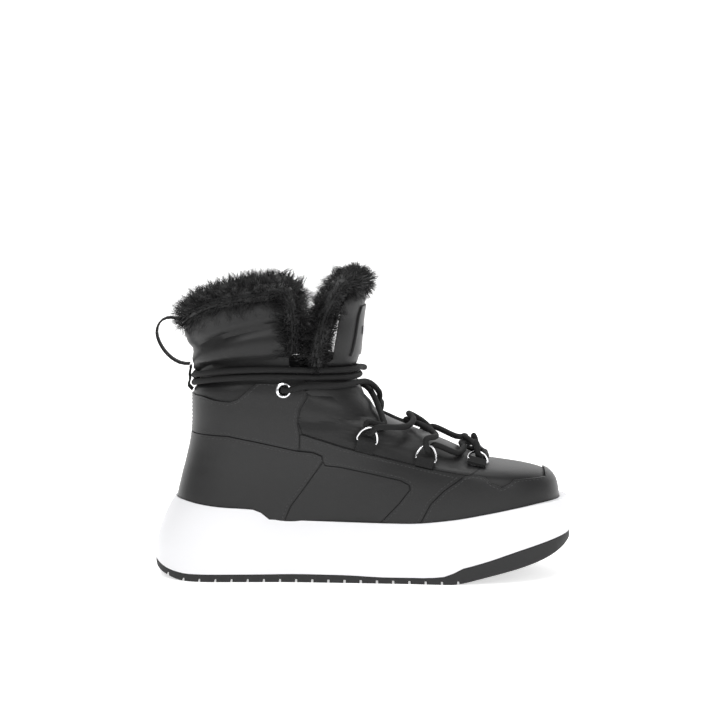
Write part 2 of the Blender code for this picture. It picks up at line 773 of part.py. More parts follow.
def padded_tongue(name, room):
    """The tongue's pad, or the room it takes when grown by a gap."""
    outside = boot_grid(LEVELS[3:], UPPER_COLUMNS, room)
    inside = boot_grid(LEVELS[3:], UPPER_COLUMNS, -WALL - GAP - TONGUE_PAD - room)
    higher = (0.0008, 0.0, TONGUE_TOP - COLLAR_HEIGHT + 0.004)
    outside = np.concatenate([outside, outside[-1:] + higher])
    inside = np.concatenate([inside, inside[-1:] + higher])
    both = np.concatenate([outside, inside[::-1]])
    tongue = tube(name, both, BLACK_PADDING, True, len(outside))
    carve(tongue, side_prism("reach", grown(THROAT, TONGUE_TUCK + room)), "INTERSECT")
    return carve(tongue, side_prism("edge", grown(TONGUE_EDGE, -room)))


def make_tongue():
    tongue = padded_tongue("tongue", 0.0)
    carve(tongue, upper_clearance(2 * OVERLAY))
    return largest_body(tongue)


def overlay(name, outline, thickness=OVERLAY, near=-0.5 * SOLE_LENGTH, far=0.5 * SOLE_LENGTH, look=BLACK_LEATHER):
    panel = shell(name, GAP + thickness, GAP, LEVELS[:13], look, 0.0, -2 * GAP)
    carve(panel, side_prism("outline", outline, near, far), "INTERSECT")
    return largest_body(panel)


def make_overlays():
    overlay("heel_counter", COUNTER)
    overlay("quarter", QUARTER)
    overlay("toe_guard", TOE_GUARD)
    for side, label in ((LATERAL, "lateral"), (MEDIAL, "medial")):
        near, far = sorted((0.0, side * 0.5 * SOLE_LENGTH))
        overlay(f"eyestay_{label}", EYESTAY, OVERLAY, near, far)
        overlay(f"side_panel_{label}", SIDE_PANEL_OUTLINE, SIDE_PANEL, near, far)


# Places on the last


def at_place(x, z, side):
    """The section and the angle round it of a point seen from the side; angle 0 is the front ridge."""
    low, high = 0.5, float(COLLAR_LEVEL)
    for _ in range(40):
        level = (low + high) / 2
        row = smooth([(number, *line) for number, line in enumerate(BOOT_SECTIONS)], [level])[0]
        share = ((x - UPPER_BACK) / UPPER_LENGTH - row[2]) / (row[0] - row[2])
        share = min(max(share, 0.0), 1.0)
        if boot_point([level], share, side)[0, 2] < z:
            low = level
        else:
            high = level
    return level, side * math.acos(2 * share - 1)


def at_ridge(z):
    """The section whose front lies at a height."""
    low, high = 0.5, float(COLLAR_LEVEL)
    for _ in range(40):
        level = (low + high) / 2
        if boot_point([level], 1.0, LATERAL)[0, 2] < z:
            low = level
        else:
            high = level
    return level, 0.0


def last_point(level, angle):
    angle = (angle + math.pi) % (2 * math.pi) - math.pi
    side = LATERAL if angle < 0 else MEDIAL
    return boot_point([level], (1 + math.cos(angle)) / 2, side)[0]


def last_frame(level, angle):
    """A point of the last with the level direction along it, the way up it and the way out."""
    step = 0.02
    point = last_point(level, angle)
    round_it = last_point(level, angle + step) - last_point(level, angle - step)
    up_it = last_point(level + step, angle) - last_point(level - step, angle)
    out = np.cross(up_it, round_it)
    middle = last_point(level, 0.0) + last_point(level, math.pi)
    if np.dot(out, point - middle / 2) < 0:
        out = -out
    out /= np.linalg.norm(out)
    up = np.array((0.0, 0.0, 1.0)) - out * out[2]
    up /= np.linalg.norm(up)
    along = np.cross(up, out)
    if along[0] < 0:
        along = -along
    return point, along, up, out


def nearest_place(target, place):
    """The place on the last nearest to a point, found from a place close by."""
    place = np.array(place, float)
    step = 0.02
    for _ in range(8):
        level, angle = place
        by_level = (last_point(level + step, angle) - last_point(level - step, angle)) / (2 * step)
        by_angle = (last_point(level, angle + step) - last_point(level, angle - step)) / (2 * step)
        move = np.linalg.lstsq(np.stack([by_level, by_angle], axis=1), target - last_point(level, angle), rcond=None)[0]
        place = place + np.clip(move, -0.5, 0.5)
    return tuple(place)


def flowing(points, spacing, closed=False):
    """A curve through points, read off at an even spacing."""
    points = np.array(points, float)
    if closed:
        points = np.concatenate([points[-1:], points, points[:2]])
    else:
        points = np.concatenate([2 * points[:1] - points[1:2], points, 2 * points[-1:] - points[-2:-1]])
    fine = []
    for index in range(1, len(points) - 2):
        before, start, end, after = points[index - 1 : index + 3]
        knots = [0.0]
        for one, other in ((before, start), (start, end), (end, after)):
            knots.append(knots[-1] + max(np.linalg.norm(other - one), 1e-6) ** 0.5)
        for share in np.arange(24) / 24:
            at = knots[1] + (knots[2] - knots[1]) * share
            low = [
                one * (knots[i + 1] - at) / (knots[i + 1] - knots[i])
                + other * (at - knots[i]) / (knots[i + 1] - knots[i])
                for i, (one, other) in enumerate(((before, start), (start, end), (end, after)))
            ]
            mid = [
                low[i] * (knots[i + 2] - at) / (knots[i + 2] - knots[i])
                + low[i + 1] * (at - knots[i]) / (knots[i + 2] - knots[i])
                for i in range(2)
            ]
            fine.append(mid[0] * (knots[2] - at) / (knots[2] - knots[1]) + mid[1] * (at - knots[1]) / (knots[2] - knots[1]))
    if not closed:
        fine.append(points[-2])
    fine = np.array(fine)
    ring = np.concatenate([fine, fine[:1]]) if closed else fine
    gone = np.concatenate([[0.0], np.cumsum(np.linalg.norm(np.diff(ring, axis=0), axis=1))])
    count = max(int(round(gone[-1] / spacing)), 2)
    stops = np.linspace(0.0, gone[-1], count + 1)
    if closed:
        stops = stops[:-1]
    return np.stack([np.interp(stops, gone, ring[:, axis]) for axis in range(3)], axis=1)


def swept(path, profile, start_up, closed=False):
    """Rings of a profile carried along a path without twisting more than the path does."""
    ahead = np.roll(path, -1, axis=0) - np.roll(path, 1, axis=0)
    if not closed:
        ahead[0], ahead[-1] = path[1] - path[0], path[-1] - path[-2]
    ahead /= np.linalg.norm(ahead, axis=1, keepdims=True)
    rings = []
    up = np.array(start_up, float)
    for point, forward in zip(path, ahead):
        up = up - forward * np.dot(up, forward)
        up /= np.linalg.norm(up)
        across = np.cross(forward, up)
        rings.append([point + across * wide + up * high for wide, high in profile])
    return np.array(rings)


def ribbon(path, across_it, width, thickness, closed=False):
    """Rings of a band along a path, its width always in one direction."""
    ahead = np.roll(path, -1, axis=0) - np.roll(path, 1, axis=0)
    if not closed:
        ahead[0], ahead[-1] = path[1] - path[0], path[-1] - path[-2]
    rings = []
    for point, forward in zip(path, ahead):
        up = np.cross(forward, across_it)
        up /= np.linalg.norm(up)
        rings.append([point + across_it * wide + up * high for wide, high in flat(width, thickness)])
    return np.array(rings)


def circle(radius, sides):
    turns = 2 * np.pi * np.arange(sides) / sides
    return np.stack([np.cos(turns), np.sin(turns)], axis=1) * radius


def flat(width, thickness):
    wide, high = width / 2, thickness / 2
    return np.array([(-wide, -high), (wide, -high), (wide, high), (-wide, high)])


# Hardware

EYELET_PLACE = (0.3125, 0.675)
STRAP_LIFT = 2.7 * GAP
BAR_LIFT = STRAP_LIFT + 2 * GAP + WEBBING_THICKNESS + RING_WIRE / 2
LACE_LIFT = 3 * GAP + LACE_DIAMETER / 2
LACE_OVER = LACE_LIFT + LACE_DIAMETER + 2 * GAP
ARC_LIFT = LACE_DIAMETER + 4 * GAP + RING_WIRE / 2
RING_TURN = LACE_DIAMETER / 2 + RING_WIRE / 2 + 2 * GAP
WRAP_LEVEL = 16.0
RING_LEAN = 15.0

# Where strands cross the front ridge, as shares of the collar's height: the bar
# between the front rings, the two crossings, the strand to the near eyelet, and
# the strand to the ankle wrap.
LACE_RIDGE = (0.412, 0.450, 0.532, 0.662, 0.626)

# Strands to the near and the far eyelet: shares of the sole's length and the collar's height.
LACE_TO_EYELET = ((0.350, 0.682), (0.385, 0.682), (0.440, 0.674))
LACE_TO_FAR_EYELET = ((0.474, 0.737), (0.430, 0.722), (0.370, 0.700))


def eyelet_frame(side):
    x, z = EYELET_PLACE[0] * SOLE_LENGTH, EYELET_PLACE[1] * COLLAR_HEIGHT
    return last_frame(*at_place(x, z, side))


def make_eyelet(side, label):
    point, along, up, out = eyelet_frame(side)
    seat = OVERLAY + 2 * GAP
    barrel = EYELET_HOLE + EYELET_LIP * 2 / 3
    outline = (
        (EYELET_HOLE, -WALL),
        (barrel, -WALL),
        (barrel, seat),
        (EYELET_RADIUS, seat),
        (EYELET_RADIUS - EYELET_LIP / 3, seat + EYELET_LIP * 2 / 3),
        ((EYELET_RADIUS + EYELET_HOLE) / 2, seat + EYELET_LIP),
        (EYELET_HOLE, seat + EYELET_LIP / 2),
    )
    turns = circle(1.0, 12)
    rings = [
        [point + (along * wide + up * high) * radius + out * lift for radius, lift in outline]
        for wide, high in turns
    ]
    tube(f"eyelet_{label}", np.array(rings), SILVER, closed=True)
    for name in ("upper", "quarter"):
        ends = [
            [point + (along * wide + up * high) * (barrel + GAP) + out * lift for wide, high in turns]
            for lift in (-4 * WALL, 4 * WALL)
        ]
        carve(bpy.data.objects[name], tube("hole", np.array(ends), None))


def ring_seat(number, side):
    """The last's point under a ring's bar, the directions along the bar, up the ring and out, and its place."""
    x, z, reach = RINGS[number]
    place = at_place(x * SOLE_LENGTH, z * COLLAR_HEIGHT, side)
    point, along, up, out = last_frame(*place)
    lean = math.radians(RING_LEAN)
    along = np.array((math.cos(lean), 0.0, -math.sin(lean)))
    along -= out * np.dot(along, out)
    along /= np.linalg.norm(along)
    up = np.cross(along, out) * -side
    return point, along, up if up[2] > 0 else -up, out, place


def ring_frame(number, side):
    """Middle of a ring's bar, the directions along it and up the ring, out of it, and the arc's far end."""
    point, along, up, out, place = ring_seat(number, side)
    bar = point + out * BAR_LIFT
    height = RING_HEIGHT - RING_WIRE
    tilt = math.asin((ARC_LIFT - BAR_LIFT) / height)
    rise = up * math.cos(tilt) + out * math.sin(tilt)
    face = out * math.cos(tilt) - up * math.sin(tilt)
    return bar, along, rise, face, bar + rise * height


def make_ring(number, side, label):
    bar, along, rise, face, arc = ring_frame(number, side)
    half = (RING_WIDTH - RING_WIRE) / 2
    turns = np.radians((24, 48, 72, 90, 108, 132, 156))
    path = [bar - along * half, bar, bar + along * half]
    path += [bar + along * half * math.cos(turn) + (arc - bar) * math.sin(turn) for turn in turns]
    rings = swept(np.array(path), circle(RING_WIRE / 2, 6), face, closed=True)
    tube(f"d_ring_{number + 1}_{label}", rings, SILVER, closed=True)


def make_strap(number, side, label):
    reach = RINGS[number][2] * COLLAR_HEIGHT
    point, along, up, out, place = ring_seat(number, side)
    bar = point + out * BAR_LIFT
    around = RING_WIRE / 2 + 2 * GAP + WEBBING_THICKNESS / 2
    low = STRAP_LIFT + WEBBING_THICKNESS / 2
    high = low + WEBBING_THICKNESS + GAP
    lower, upper = [point + out * low], []
    for share in (0.3, 0.65, 1.0):
        place = nearest_place(point - up * reach * share, place)
        foot, _, _, foot_out = last_frame(*place)
        near = 1 - float(ease(share * reach / (2.2 * around)))
        lower.insert(0, foot + foot_out * low)
        upper.append(foot + foot_out * (high + (BAR_LIFT + around - high) * near))
    bend = [bar + (up * math.cos(turn) + out * math.sin(turn)) * around for turn in np.radians((-45, 0, 45, 90))]
    path = np.array(lower + bend + upper)
    rings = ribbon(path, along, WEBBING_WIDTH, WEBBING_THICKNESS, closed=True)
    tube(f"ring_strap_{number + 1}_{label}", rings, BLACK_CORD, closed=True)


# Laces


def lifted(place, lift):
    point, along, up, out = last_frame(*place)
    return point + out * lift


def ring_turn(number, side, spread):
    """Over the arc of a ring, down through it and back under its arc."""
    bar, along, rise, face, arc = ring_frame(number, side)
    return [
        arc + face * RING_TURN * 1.50 + along * spread + rise * RING_TURN * 0.8,
        arc + face * RING_TURN * 0.95 - rise * RING_TURN * 0.5 + along * spread / 2,
        arc - rise * RING_TURN,
        arc - face * RING_TURN * 0.75 - rise * RING_TURN * 0.7 - along * spread / 2,
        arc - face * RING_TURN * 1.15 - along * spread + rise * RING_TURN / 2,
    ]


def ring_place(number, side):
    x, z, reach = RINGS[number]
    return at_place(x * SOLE_LENGTH, z * COLLAR_HEIGHT, side)


def across(start, end, share):
    """A place on the straight line between two places in section and angle."""
    return tuple(one + (other - one) * share for one, other in zip(start, end))


def strand(start, ridge, end, lifts):
    """Points between two rings on opposite sides, at three lifts: leaving, on the ridge, arriving."""
    leaving, top, arriving = lifts
    return [
        lifted(across(start, ridge, 0.45), leaving),
        lifted(across(start, ridge, 0.75), (top + leaving) / 2),
        lifted(ridge, top),
        lifted(across(ridge, end, 0.25), (top + arriving) / 2),
        lifted(across(ridge, end, 0.55), arriving),
    ]


def wrap_point(turn, height):
    """A point of the ankle wrap: turn runs on from the front ridge, height from the groove's middle."""
    angle = (turn + math.pi) % (2 * math.pi) - math.pi
    point, along, up, out = last_frame(WRAP_LEVEL, angle)
    return point + out * (LACE_LIFT + GAP) + up * height


def lace_route():
    near = [ring_place(number, LATERAL) for number in range(3)]
    far = [ring_place(number, MEDIAL) for number in range(3)]
    ridge = [at_ridge(share * COLLAR_HEIGHT) for share in LACE_RIDGE]
    spread = LACE_DIAMETER * 0.8
    low, high = LACE_LIFT + GAP, LACE_OVER + GAP
    seat = OVERLAY + 2 * GAP + EYELET_LIP
    over_quarter = LACE_LIFT + OVERLAY + 2 * GAP
    point, along, up, out = eyelet_frame(LATERAL)
    route = [point - out * WALL / 2, point + out * seat]
    route.append(point + out * (seat + LACE_DIAMETER * 0.6) + along * EYELET_HOLE)
    for x, z in LACE_TO_EYELET:
        route.append(lifted(at_place(x * SOLE_LENGTH, z * COLLAR_HEIGHT, LATERAL), over_quarter))
    route.append(lifted(ridge[3], (LACE_LIFT + LACE_OVER) / 2))
    route += [lifted(across(ridge[3], far[2], share), high) for share in (0.15, 0.35)]
    route += [lifted(across(ridge[3], far[2], share), high + LACE_DIAMETER * 0.6) for share in (0.6, 0.8)]
    route += ring_turn(2, MEDIAL, -spread)
    route += strand(far[2], ridge[2], near[1], (low, low, high))
    route += ring_turn(1, LATERAL, -spread)
    route += strand(near[1], ridge[1], far[0], (low, low, high))
    route += ring_turn(0, MEDIAL, -spread)
    route += strand(far[0], ridge[0], near[0], (low, low, low))
    route += ring_turn(0, LATERAL, -spread)[::-1]
    route += strand(near[0], ridge[1], far[1], (high, high, high))
    route += ring_turn(1, MEDIAL, spread)
    route += strand(far[1], ridge[2], near[2], (low, high, high))
    route += ring_turn(2, LATERAL, spread)
    route += [lifted(across(near[2], ridge[4], share), LACE_LIFT + GAP) for share in (0.4, 0.6, 0.8)]
    route.append(lifted(ridge[4], LACE_LIFT))
    beyond = at_place(0.430 * SOLE_LENGTH, 0.676 * COLLAR_HEIGHT, MEDIAL)
    route += [lifted(across(ridge[4], beyond, share), LACE_LIFT + GAP) for share in (0.35, 0.7)]
    route.append(lifted(beyond, LACE_LIFT + 2 * GAP))
    half = LACE_SPACING / 2
    join, climb, step = 1.30, 0.9, 0.26
    for turn in np.arange(join, 2 * math.pi, step):
        route.append(wrap_point(turn, -half))
    for turn in np.arange(2 * math.pi, 4 * math.pi + step / 2, step):
        share = float(ease((turn - 2 * math.pi - 0.25) / climb))
        route.append(wrap_point(turn, -half + LACE_SPACING * share))
    for x, z in LACE_TO_FAR_EYELET:
        route.append(lifted(at_place(x * SOLE_LENGTH, z * COLLAR_HEIGHT, MEDIAL), LACE_OVER + OVERLAY))
    point, along, up, out = eyelet_frame(MEDIAL)
    route.append(point + out * (seat + LACE_DIAMETER) + (along + up) * EYELET_HOLE / 2)
    route += [point + out * seat, point - out * WALL / 2]
    return route


def thinned(path, turn, longest):
    """Keep a point wherever the path has turned by an angle or run on for a length."""
    step = np.diff(path, axis=0)
    length = np.linalg.norm(step, axis=1)
    step /= length[:, None]
    bend = np.arccos(np.clip(np.sum(step[1:] * step[:-1], axis=1), -1.0, 1.0))
    kept, turned, run = [path[0]], 0.0, 0.0
    for index in range(1, len(path) - 1):
        turned += bend[index - 1]
        run += length[index - 1]
        if turned > turn or run > longest:
            kept.append(path[index])
            turned, run = 0.0, 0.0
    return np.array([*kept, path[-1]])


def make_lace():
    path = flowing(lace_route(), LACE_DIAMETER / 4)
    path = thinned(path, math.radians(26), 3.2 * LACE_DIAMETER)
    rings = swept(path, circle(LACE_DIAMETER / 2, LACE_SIDES), (0.0, 0.0, 1.0))
    tube("lace", rings, BLACK_CORD)


# Fur, keeper, pull loop and patch


def fur_roll(name, path, radii, sides, seed, lock):
    """A roll of fur along a path, with a pointed lock on every other facet."""
    unit = swept(path, circle(1.0, sides), (0.0, 0.0, 1.0))
    rings = path[:, None] + (unit - path[:, None]) * np.array(radii)[:, None, None]
    count = rings.shape[1]
    points = [tuple(point) for point in rings.reshape(-1, 3)]
    faces = []
    chance = random.Random(seed)
    for ring in range(len(rings) - 1):
        low, high = ring * count, (ring + 1) * count
        for index in range(count):
            after = (index + 1) % count
            quad = (low + index, low + after, high + after, high + index)
            corners = np.array([points[corner] for corner in quad])
            middle = corners.mean(axis=0)
            out = middle - (path[ring] + path[ring + 1]) / 2
            out /= np.linalg.norm(out)
            tip = middle + out * lock * chance.uniform(0.25, 1.0)
            points.append(tuple(tip))
            tip_index = len(points) - 1
            faces += [(quad[i], quad[(i + 1) % 4], tip_index) for i in range(4)]
    faces.append(tuple(range(count)))
    faces.append(tuple(range(len(rings) * count - count, len(rings) * count)))
    return solid(name, points, faces, BLACK_FUR)


def make_collar_fur():
    lateral = [at_place(FUR_EDGE * SOLE_LENGTH, share * COLLAR_HEIGHT, LATERAL) for share in (0.800, 0.870, 0.935)]
    path = [lifted(place, -WALL) + (FUR_RADIUS * 0.55, 0.0, 0.0) for place in lateral]
    start = at_place((FUR_EDGE - 0.008) * SOLE_LENGTH, 0.985 * COLLAR_HEIGHT, LATERAL)[1]
    round_back = [lifted((COLLAR_LEVEL, angle), -2 * WALL) for angle in np.linspace(start, -math.pi, 8)]
    round_back = [point + (0.0, 0.0, FUR_RADIUS * 0.5) for point in round_back]
    half = path + round_back
    mirrored = [lifted((COLLAR_LEVEL, -angle), -2 * WALL) for angle in np.linspace(start, -math.pi, 8)[:-1]]
    mirrored = [point + (0.0, 0.0, FUR_RADIUS * 0.5) for point in mirrored][::-1]
    medial = [at_place(FUR_EDGE * SOLE_LENGTH, share * COLLAR_HEIGHT, MEDIAL) for share in (0.935, 0.870, 0.800)]
    route = half + mirrored
    route += [lifted(place, -WALL) + (FUR_RADIUS * 0.55, 0.0, 0.0) for place in medial]
    path = flowing(route, 1.6 * FUR_RADIUS)
    share = np.linspace(-1.0, 1.0, len(path))
    radii = FUR_RADIUS * (0.95 - 0.25 * ease((np.abs(share) - 0.7) / 0.3))
    fur = fur_roll("collar_fur", path, radii, 6, 5, FUR_LOCK)
    carve(fur, upper_clearance(GAP))
    return largest_body(fur)


def make_tongue_fur():
    sides = []
    for side in (LATERAL, MEDIAL):
        places = [at_place(x * SOLE_LENGTH, z * COLLAR_HEIGHT, side) for x, z in TONGUE_FUR]
        sides.append([lifted(place, -TONGUE_PAD) for place in places])
    rise = (0.0, 0.0, TONGUE_TOP - COLLAR_HEIGHT + FUR_RADIUS * 0.35)
    arc = [lifted((COLLAR_LEVEL, angle), -WALL - TONGUE_PAD / 2) + rise for angle in np.linspace(-0.62, 0.62, 7)]
    path = flowing(sides[0] + arc + sides[1][::-1], 1.4 * FUR_RADIUS)
    radii = np.full(len(path), TONGUE_FUR_DEPTH)
    fur = fur_roll("tongue_fur", path, radii, 6, 9, FUR_LOCK * 0.8)
    room = padded_tongue("room", GAP)
    carve(fur, room)
    return largest_body(fur)


def wrap_seat(level, lift):
    """A point behind the last at a section, a length behind its back."""
    return last_point(level, math.pi) - (lift, 0.0, 0.0)


def make_keeper():
    seat = GAP + KEEPER_THICKNESS / 2
    free = LACE_LIFT + LACE_DIAMETER / 2 + 2 * GAP + KEEPER_THICKNESS / 2
    route = [
        wrap_seat(14.0, seat),
        wrap_seat(15.0, free - GAP),
        wrap_seat(16.0, free),
        wrap_seat(17.0, free),
        wrap_seat(18.0, seat + GAP),
        wrap_seat(18.5, seat),
    ]
    path = flowing(route, KEEPER_WIDTH / 6)
    rings = ribbon(path, ACROSS, KEEPER_WIDTH, KEEPER_THICKNESS)
    tube("lace_keeper", rings, BLACK_CORD)


def pull_loop_route():
    foot = wrap_seat(18.75, 2 * GAP + PULL_LOOP_THICKNESS / 2)
    top = lifted((COLLAR_LEVEL, math.pi), -WALL / 2) + (0.0, 0.0, 4 * GAP + PULL_LOOP_THICKNESS / 2)
    reach = top[2] - foot[2]
    route = [foot]
    for back, high in PULL_LOOP:
        route.append((foot[0] - back * reach, 0.0, foot[2] + high * reach))
    route.append(tuple(top))
    return route


def make_pull_loop():
    path = flowing(pull_loop_route(), PULL_LOOP_WIDTH / 3)
    rings = ribbon(path, ACROSS, PULL_LOOP_WIDTH, PULL_LOOP_THICKNESS)
    tube("pull_loop", rings, BLACK_CORD)
    room = ribbon(path, ACROSS, PULL_LOOP_WIDTH + 2 * GAP, PULL_LOOP_THICKNESS + 2 * GAP)
    cut = tube("loop_room", room, None)
    carve(bpy.data.objects["collar_fur"], cut)
    largest_body(bpy.data.objects["collar_fur"])


def make_patch():
    patch = shell("tongue_patch", GAP + PATCH_THICKNESS, GAP, LEVELS[13:], BLACK_LEATHER)
    y_z = np.array(PATCH_OUTLINE) * (COLLAR_WIDTH, COLLAR_HEIGHT)
    front = prism("front", y_z, 0.42 * SOLE_LENGTH, 0.62 * SOLE_LENGTH)
    front.data.transform(Matrix(((0, 1, 0, 0), (1, 0, 0, 0), (0, 0, 1, 0), (0, 0, 0, 1))))
    front.data.flip_normals()
    carve(patch, front, "INTERSECT")
    largest_body(patch)
    point, along, up, out = last_frame(*at_ridge(BADGE_PLACE * COLLAR_HEIGHT))
    lift = 2 * GAP + PATCH_THICKNESS
    across_it = np.cross(up, out)
    low = [point + out * lift, point + out * (lift + BADGE_THICKNESS)]
    corners = ((-1, -1), (1, -1), (1, 1), (-1, 1))
    rings = [
        [seat + across_it * wide * BADGE_LENGTH / 2 + up * high * BADGE_HEIGHT / 2 for wide, high in corners]
        for seat in low
    ]
    tube("tongue_badge", np.array(rings), SILVER)


def stand_on_origin():
    """Move every piece so that the origin is the middle of the boot's box, on the floor."""
    corners = np.array([vertex.co[:] for piece in bpy.data.objects for vertex in piece.data.vertices])
    middle = (corners.min(axis=0) + corners.max(axis=0)) / 2
    for piece in bpy.data.objects:
        piece.data.transform(Matrix.Translation((-middle[0], -middle[1], 0.0)))


def main():
    for old in list(bpy.data.objects):
        bpy.data.objects.remove(old)
    make_outsole()
    make_midsole()
    make_insole()
    make_upper()
    make_tongue()
    make_overlays()
    for side, label in ((LATERAL, "lateral"), (MEDIAL, "medial")):
        make_eyelet(side, label)
        for number in range(len(RINGS)):
            make_ring(number, side, label)
            make_strap(number, side, label)
    make_lace()
    make_collar_fur()
    make_tongue_fur()
    make_keeper()
    make_pull_loop()
    make_patch()
    stand_on_origin()


if __name__ == "__main__":
    main()
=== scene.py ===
"""The finished boot: smooth surfaces, fur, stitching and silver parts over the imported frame."""

import json
import math

import bmesh
import bpy
import numpy as np
from mathutils import Matrix, Vector

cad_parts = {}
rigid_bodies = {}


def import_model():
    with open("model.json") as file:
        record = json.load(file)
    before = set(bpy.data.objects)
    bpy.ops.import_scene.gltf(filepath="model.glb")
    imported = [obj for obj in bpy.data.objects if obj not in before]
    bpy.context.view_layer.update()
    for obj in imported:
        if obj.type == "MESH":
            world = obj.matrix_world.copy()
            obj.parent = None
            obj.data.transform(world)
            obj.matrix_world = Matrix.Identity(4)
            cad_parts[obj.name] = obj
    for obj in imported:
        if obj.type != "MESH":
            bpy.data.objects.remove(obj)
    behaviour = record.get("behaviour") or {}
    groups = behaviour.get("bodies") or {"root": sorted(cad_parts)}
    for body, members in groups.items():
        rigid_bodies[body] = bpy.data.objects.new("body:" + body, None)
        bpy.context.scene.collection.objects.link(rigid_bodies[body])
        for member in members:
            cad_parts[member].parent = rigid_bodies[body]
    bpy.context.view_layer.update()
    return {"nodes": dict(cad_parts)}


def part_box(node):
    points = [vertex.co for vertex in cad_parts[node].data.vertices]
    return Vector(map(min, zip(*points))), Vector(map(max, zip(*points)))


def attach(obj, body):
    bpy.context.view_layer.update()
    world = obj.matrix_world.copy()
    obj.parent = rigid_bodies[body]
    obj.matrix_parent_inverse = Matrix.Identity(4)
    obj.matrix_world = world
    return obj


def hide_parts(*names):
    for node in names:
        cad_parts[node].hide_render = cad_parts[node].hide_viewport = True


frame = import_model()

bl_info = {
    "name": "Fur-lined boot",
    "version": (1, 0, 0),
    "blender": (4, 5, 0),
    "location": "View3D > Sidebar > Boot",
    "description": "Builds a padded ankle boot with a fur collar over its solid frame",
    "category": "Object",
}

SHOWN = "_shown"

CREASE_DEPTH = 0.0022
CREASE_WIDTH = 0.0030
STITCH_PITCH = 0.0026
STITCH_INSET = 0.0017
HAIR_COUNT = 15000
HAIR_LENGTH = 0.0130
HAIR_WIDTH = 0.00046
STITCH_LENGTH = 0.8 * STITCH_PITCH
STITCH_WIDTH = 0.00064
STITCH_HEIGHT = 0.00056
STITCH_LOWEST = 0.035
BEAD_FACES = np.array(
    ((0, 2, 5), (0, 5, 3), (0, 3, 4), (0, 4, 2), (1, 5, 2), (1, 3, 5), (1, 4, 3), (1, 2, 4))
)
STRANDS_PER_CLUMP = 22
CLUMP_PULL = 0.85
STRAND_BEND = 0.0013
STRAND_DROOP = 0.0012
STRAND_POINTS = 5
STRAND_TAPER = 0.85
ROLL_SHARE = 0.86
ROLL_SIDES = 20
FULL_ROLL_RINGS = 80
SHARP_ANGLE = math.radians(38)

# Each crease seen from the side: how deep, as a share of CREASE_DEPTH, and its
# (x, z) points in shares of the sole's length and the collar's height.
CREASES = (
    (1.0, ((0.385, 0.650), (0.430, 0.655), (0.473, 0.653), (0.517, 0.640))),
    (0.9, ((0.350, 0.565), (0.400, 0.562), (0.440, 0.568), (0.514, 0.578))),
    (0.9, ((0.088, 0.806), (0.105, 0.828), (0.149, 0.853), (0.233, 0.885), (0.318, 0.910))),
    (0.7, ((0.092, 0.747), (0.182, 0.752), (0.270, 0.767), (0.318, 0.786))),
    (0.5, ((0.130, 0.880), (0.190, 0.915), (0.260, 0.940))),
    (0.5, ((0.110, 0.700), (0.180, 0.705), (0.250, 0.715))),
    (0.5, ((0.400, 0.735), (0.450, 0.730), (0.500, 0.722))),
    (0.6, ((0.470, 0.520), (0.530, 0.505), (0.590, 0.490))),
)


def creases(points):
    """How far the padding is pressed in, as a share of CREASE_DEPTH.

    Each crease is a soft trough: minus its depth times exp(-(distance / width) squared).
    """
    flat_places = points[..., (0, 2)]
    total = np.zeros(points.shape[:-1])
    for deep, line in CREASES:
        line = np.array(line) * (SOLE_LENGTH, COLLAR_HEIGHT)
        nearest = np.full(points.shape[:-1], 1.0)
        for first, second in zip(line[:-1], line[1:]):
            run = second - first
            share = np.clip(((flat_places - first) @ run) / (run @ run), 0.0, 1.0)
            away = np.linalg.norm(flat_places - first - share[..., None] * run, axis=-1)
            nearest = np.minimum(nearest, away)
        total -= deep * np.exp(-((nearest / CREASE_WIDTH) ** 2))
    return total


SOLE_LENGTH = 0.280
BALL_WIDTH = 0.102
WAIST_WIDTH = 0.078
HEEL_WIDTH = 0.078
HEEL_RIM_HEIGHT = 0.0538
WAIST_RIM_HEIGHT = 0.0400
TOE_RIM_HEIGHT = 0.0524
OUTSOLE_THICKNESS = 0.0056
BUMPER_HEIGHT = 0.0300
TOE_SPRING = 0.0244
HEEL_SPRING = 0.0086
HEEL_RAKE = 0.0133
TOE_RAKE = 0.0017
SIDE_RAKE = 0.0035
TOE_SWING = 0.0050
FOOTBED_HEIGHT = 0.0300
GROOVE_WIDTH = 0.0015
GROOVE_DEPTH = 0.0022
GROOVE_PITCH = 0.01075
FIRST_GROOVE = 0.0095
GROOVE_COUNT = 19

# Upper
UPPER_LENGTH = 0.2610
UPPER_BACK = 0.0138
UPPER_BALL_WIDTH = 0.0885
UPPER_HEEL_WIDTH = 0.0625
ANKLE_WIDTH = 0.0760
COLLAR_WIDTH = 0.0850
INSTEP_HEIGHT = 0.1050
ANKLE_HEIGHT = 0.1310
COLLAR_HEIGHT = 0.1900
WALL = 0.0026
OVERLAY = 0.0012
SIDE_PANEL = 0.0007
TONGUE_PAD = 0.0040
TONGUE_TUCK = 0.0070
TONGUE_TOP = 0.1950
INSOLE_THICKNESS = 0.0050
GAP = 0.0003

# Trim
LACE_DIAMETER = 0.0040
LACE_SPACING = 0.0049
EYELET_RADIUS = 0.0052
EYELET_HOLE = 0.0032
EYELET_LIP = 0.0009
RING_WIRE = 0.0015
RING_WIDTH = 0.0150
RING_HEIGHT = 0.0110
WEBBING_WIDTH = 0.0120
WEBBING_THICKNESS = 0.0009
PULL_LOOP_WIDTH = 0.0100
PULL_LOOP_THICKNESS = 0.0013
KEEPER_WIDTH = 0.0120
KEEPER_THICKNESS = 0.0011
PATCH_THICKNESS = 0.0010
BADGE_LENGTH = 0.0160
BADGE_HEIGHT = 0.0060
BADGE_THICKNESS = 0.0010
FUR_RADIUS = 0.0085
FUR_LOCK = 0.0045
TONGUE_FUR_DEPTH = 0.0070

# Fineness of the faceted forms
SOLE_COLUMNS = 64
UPPER_COLUMNS = 40
LACE_SIDES = 14

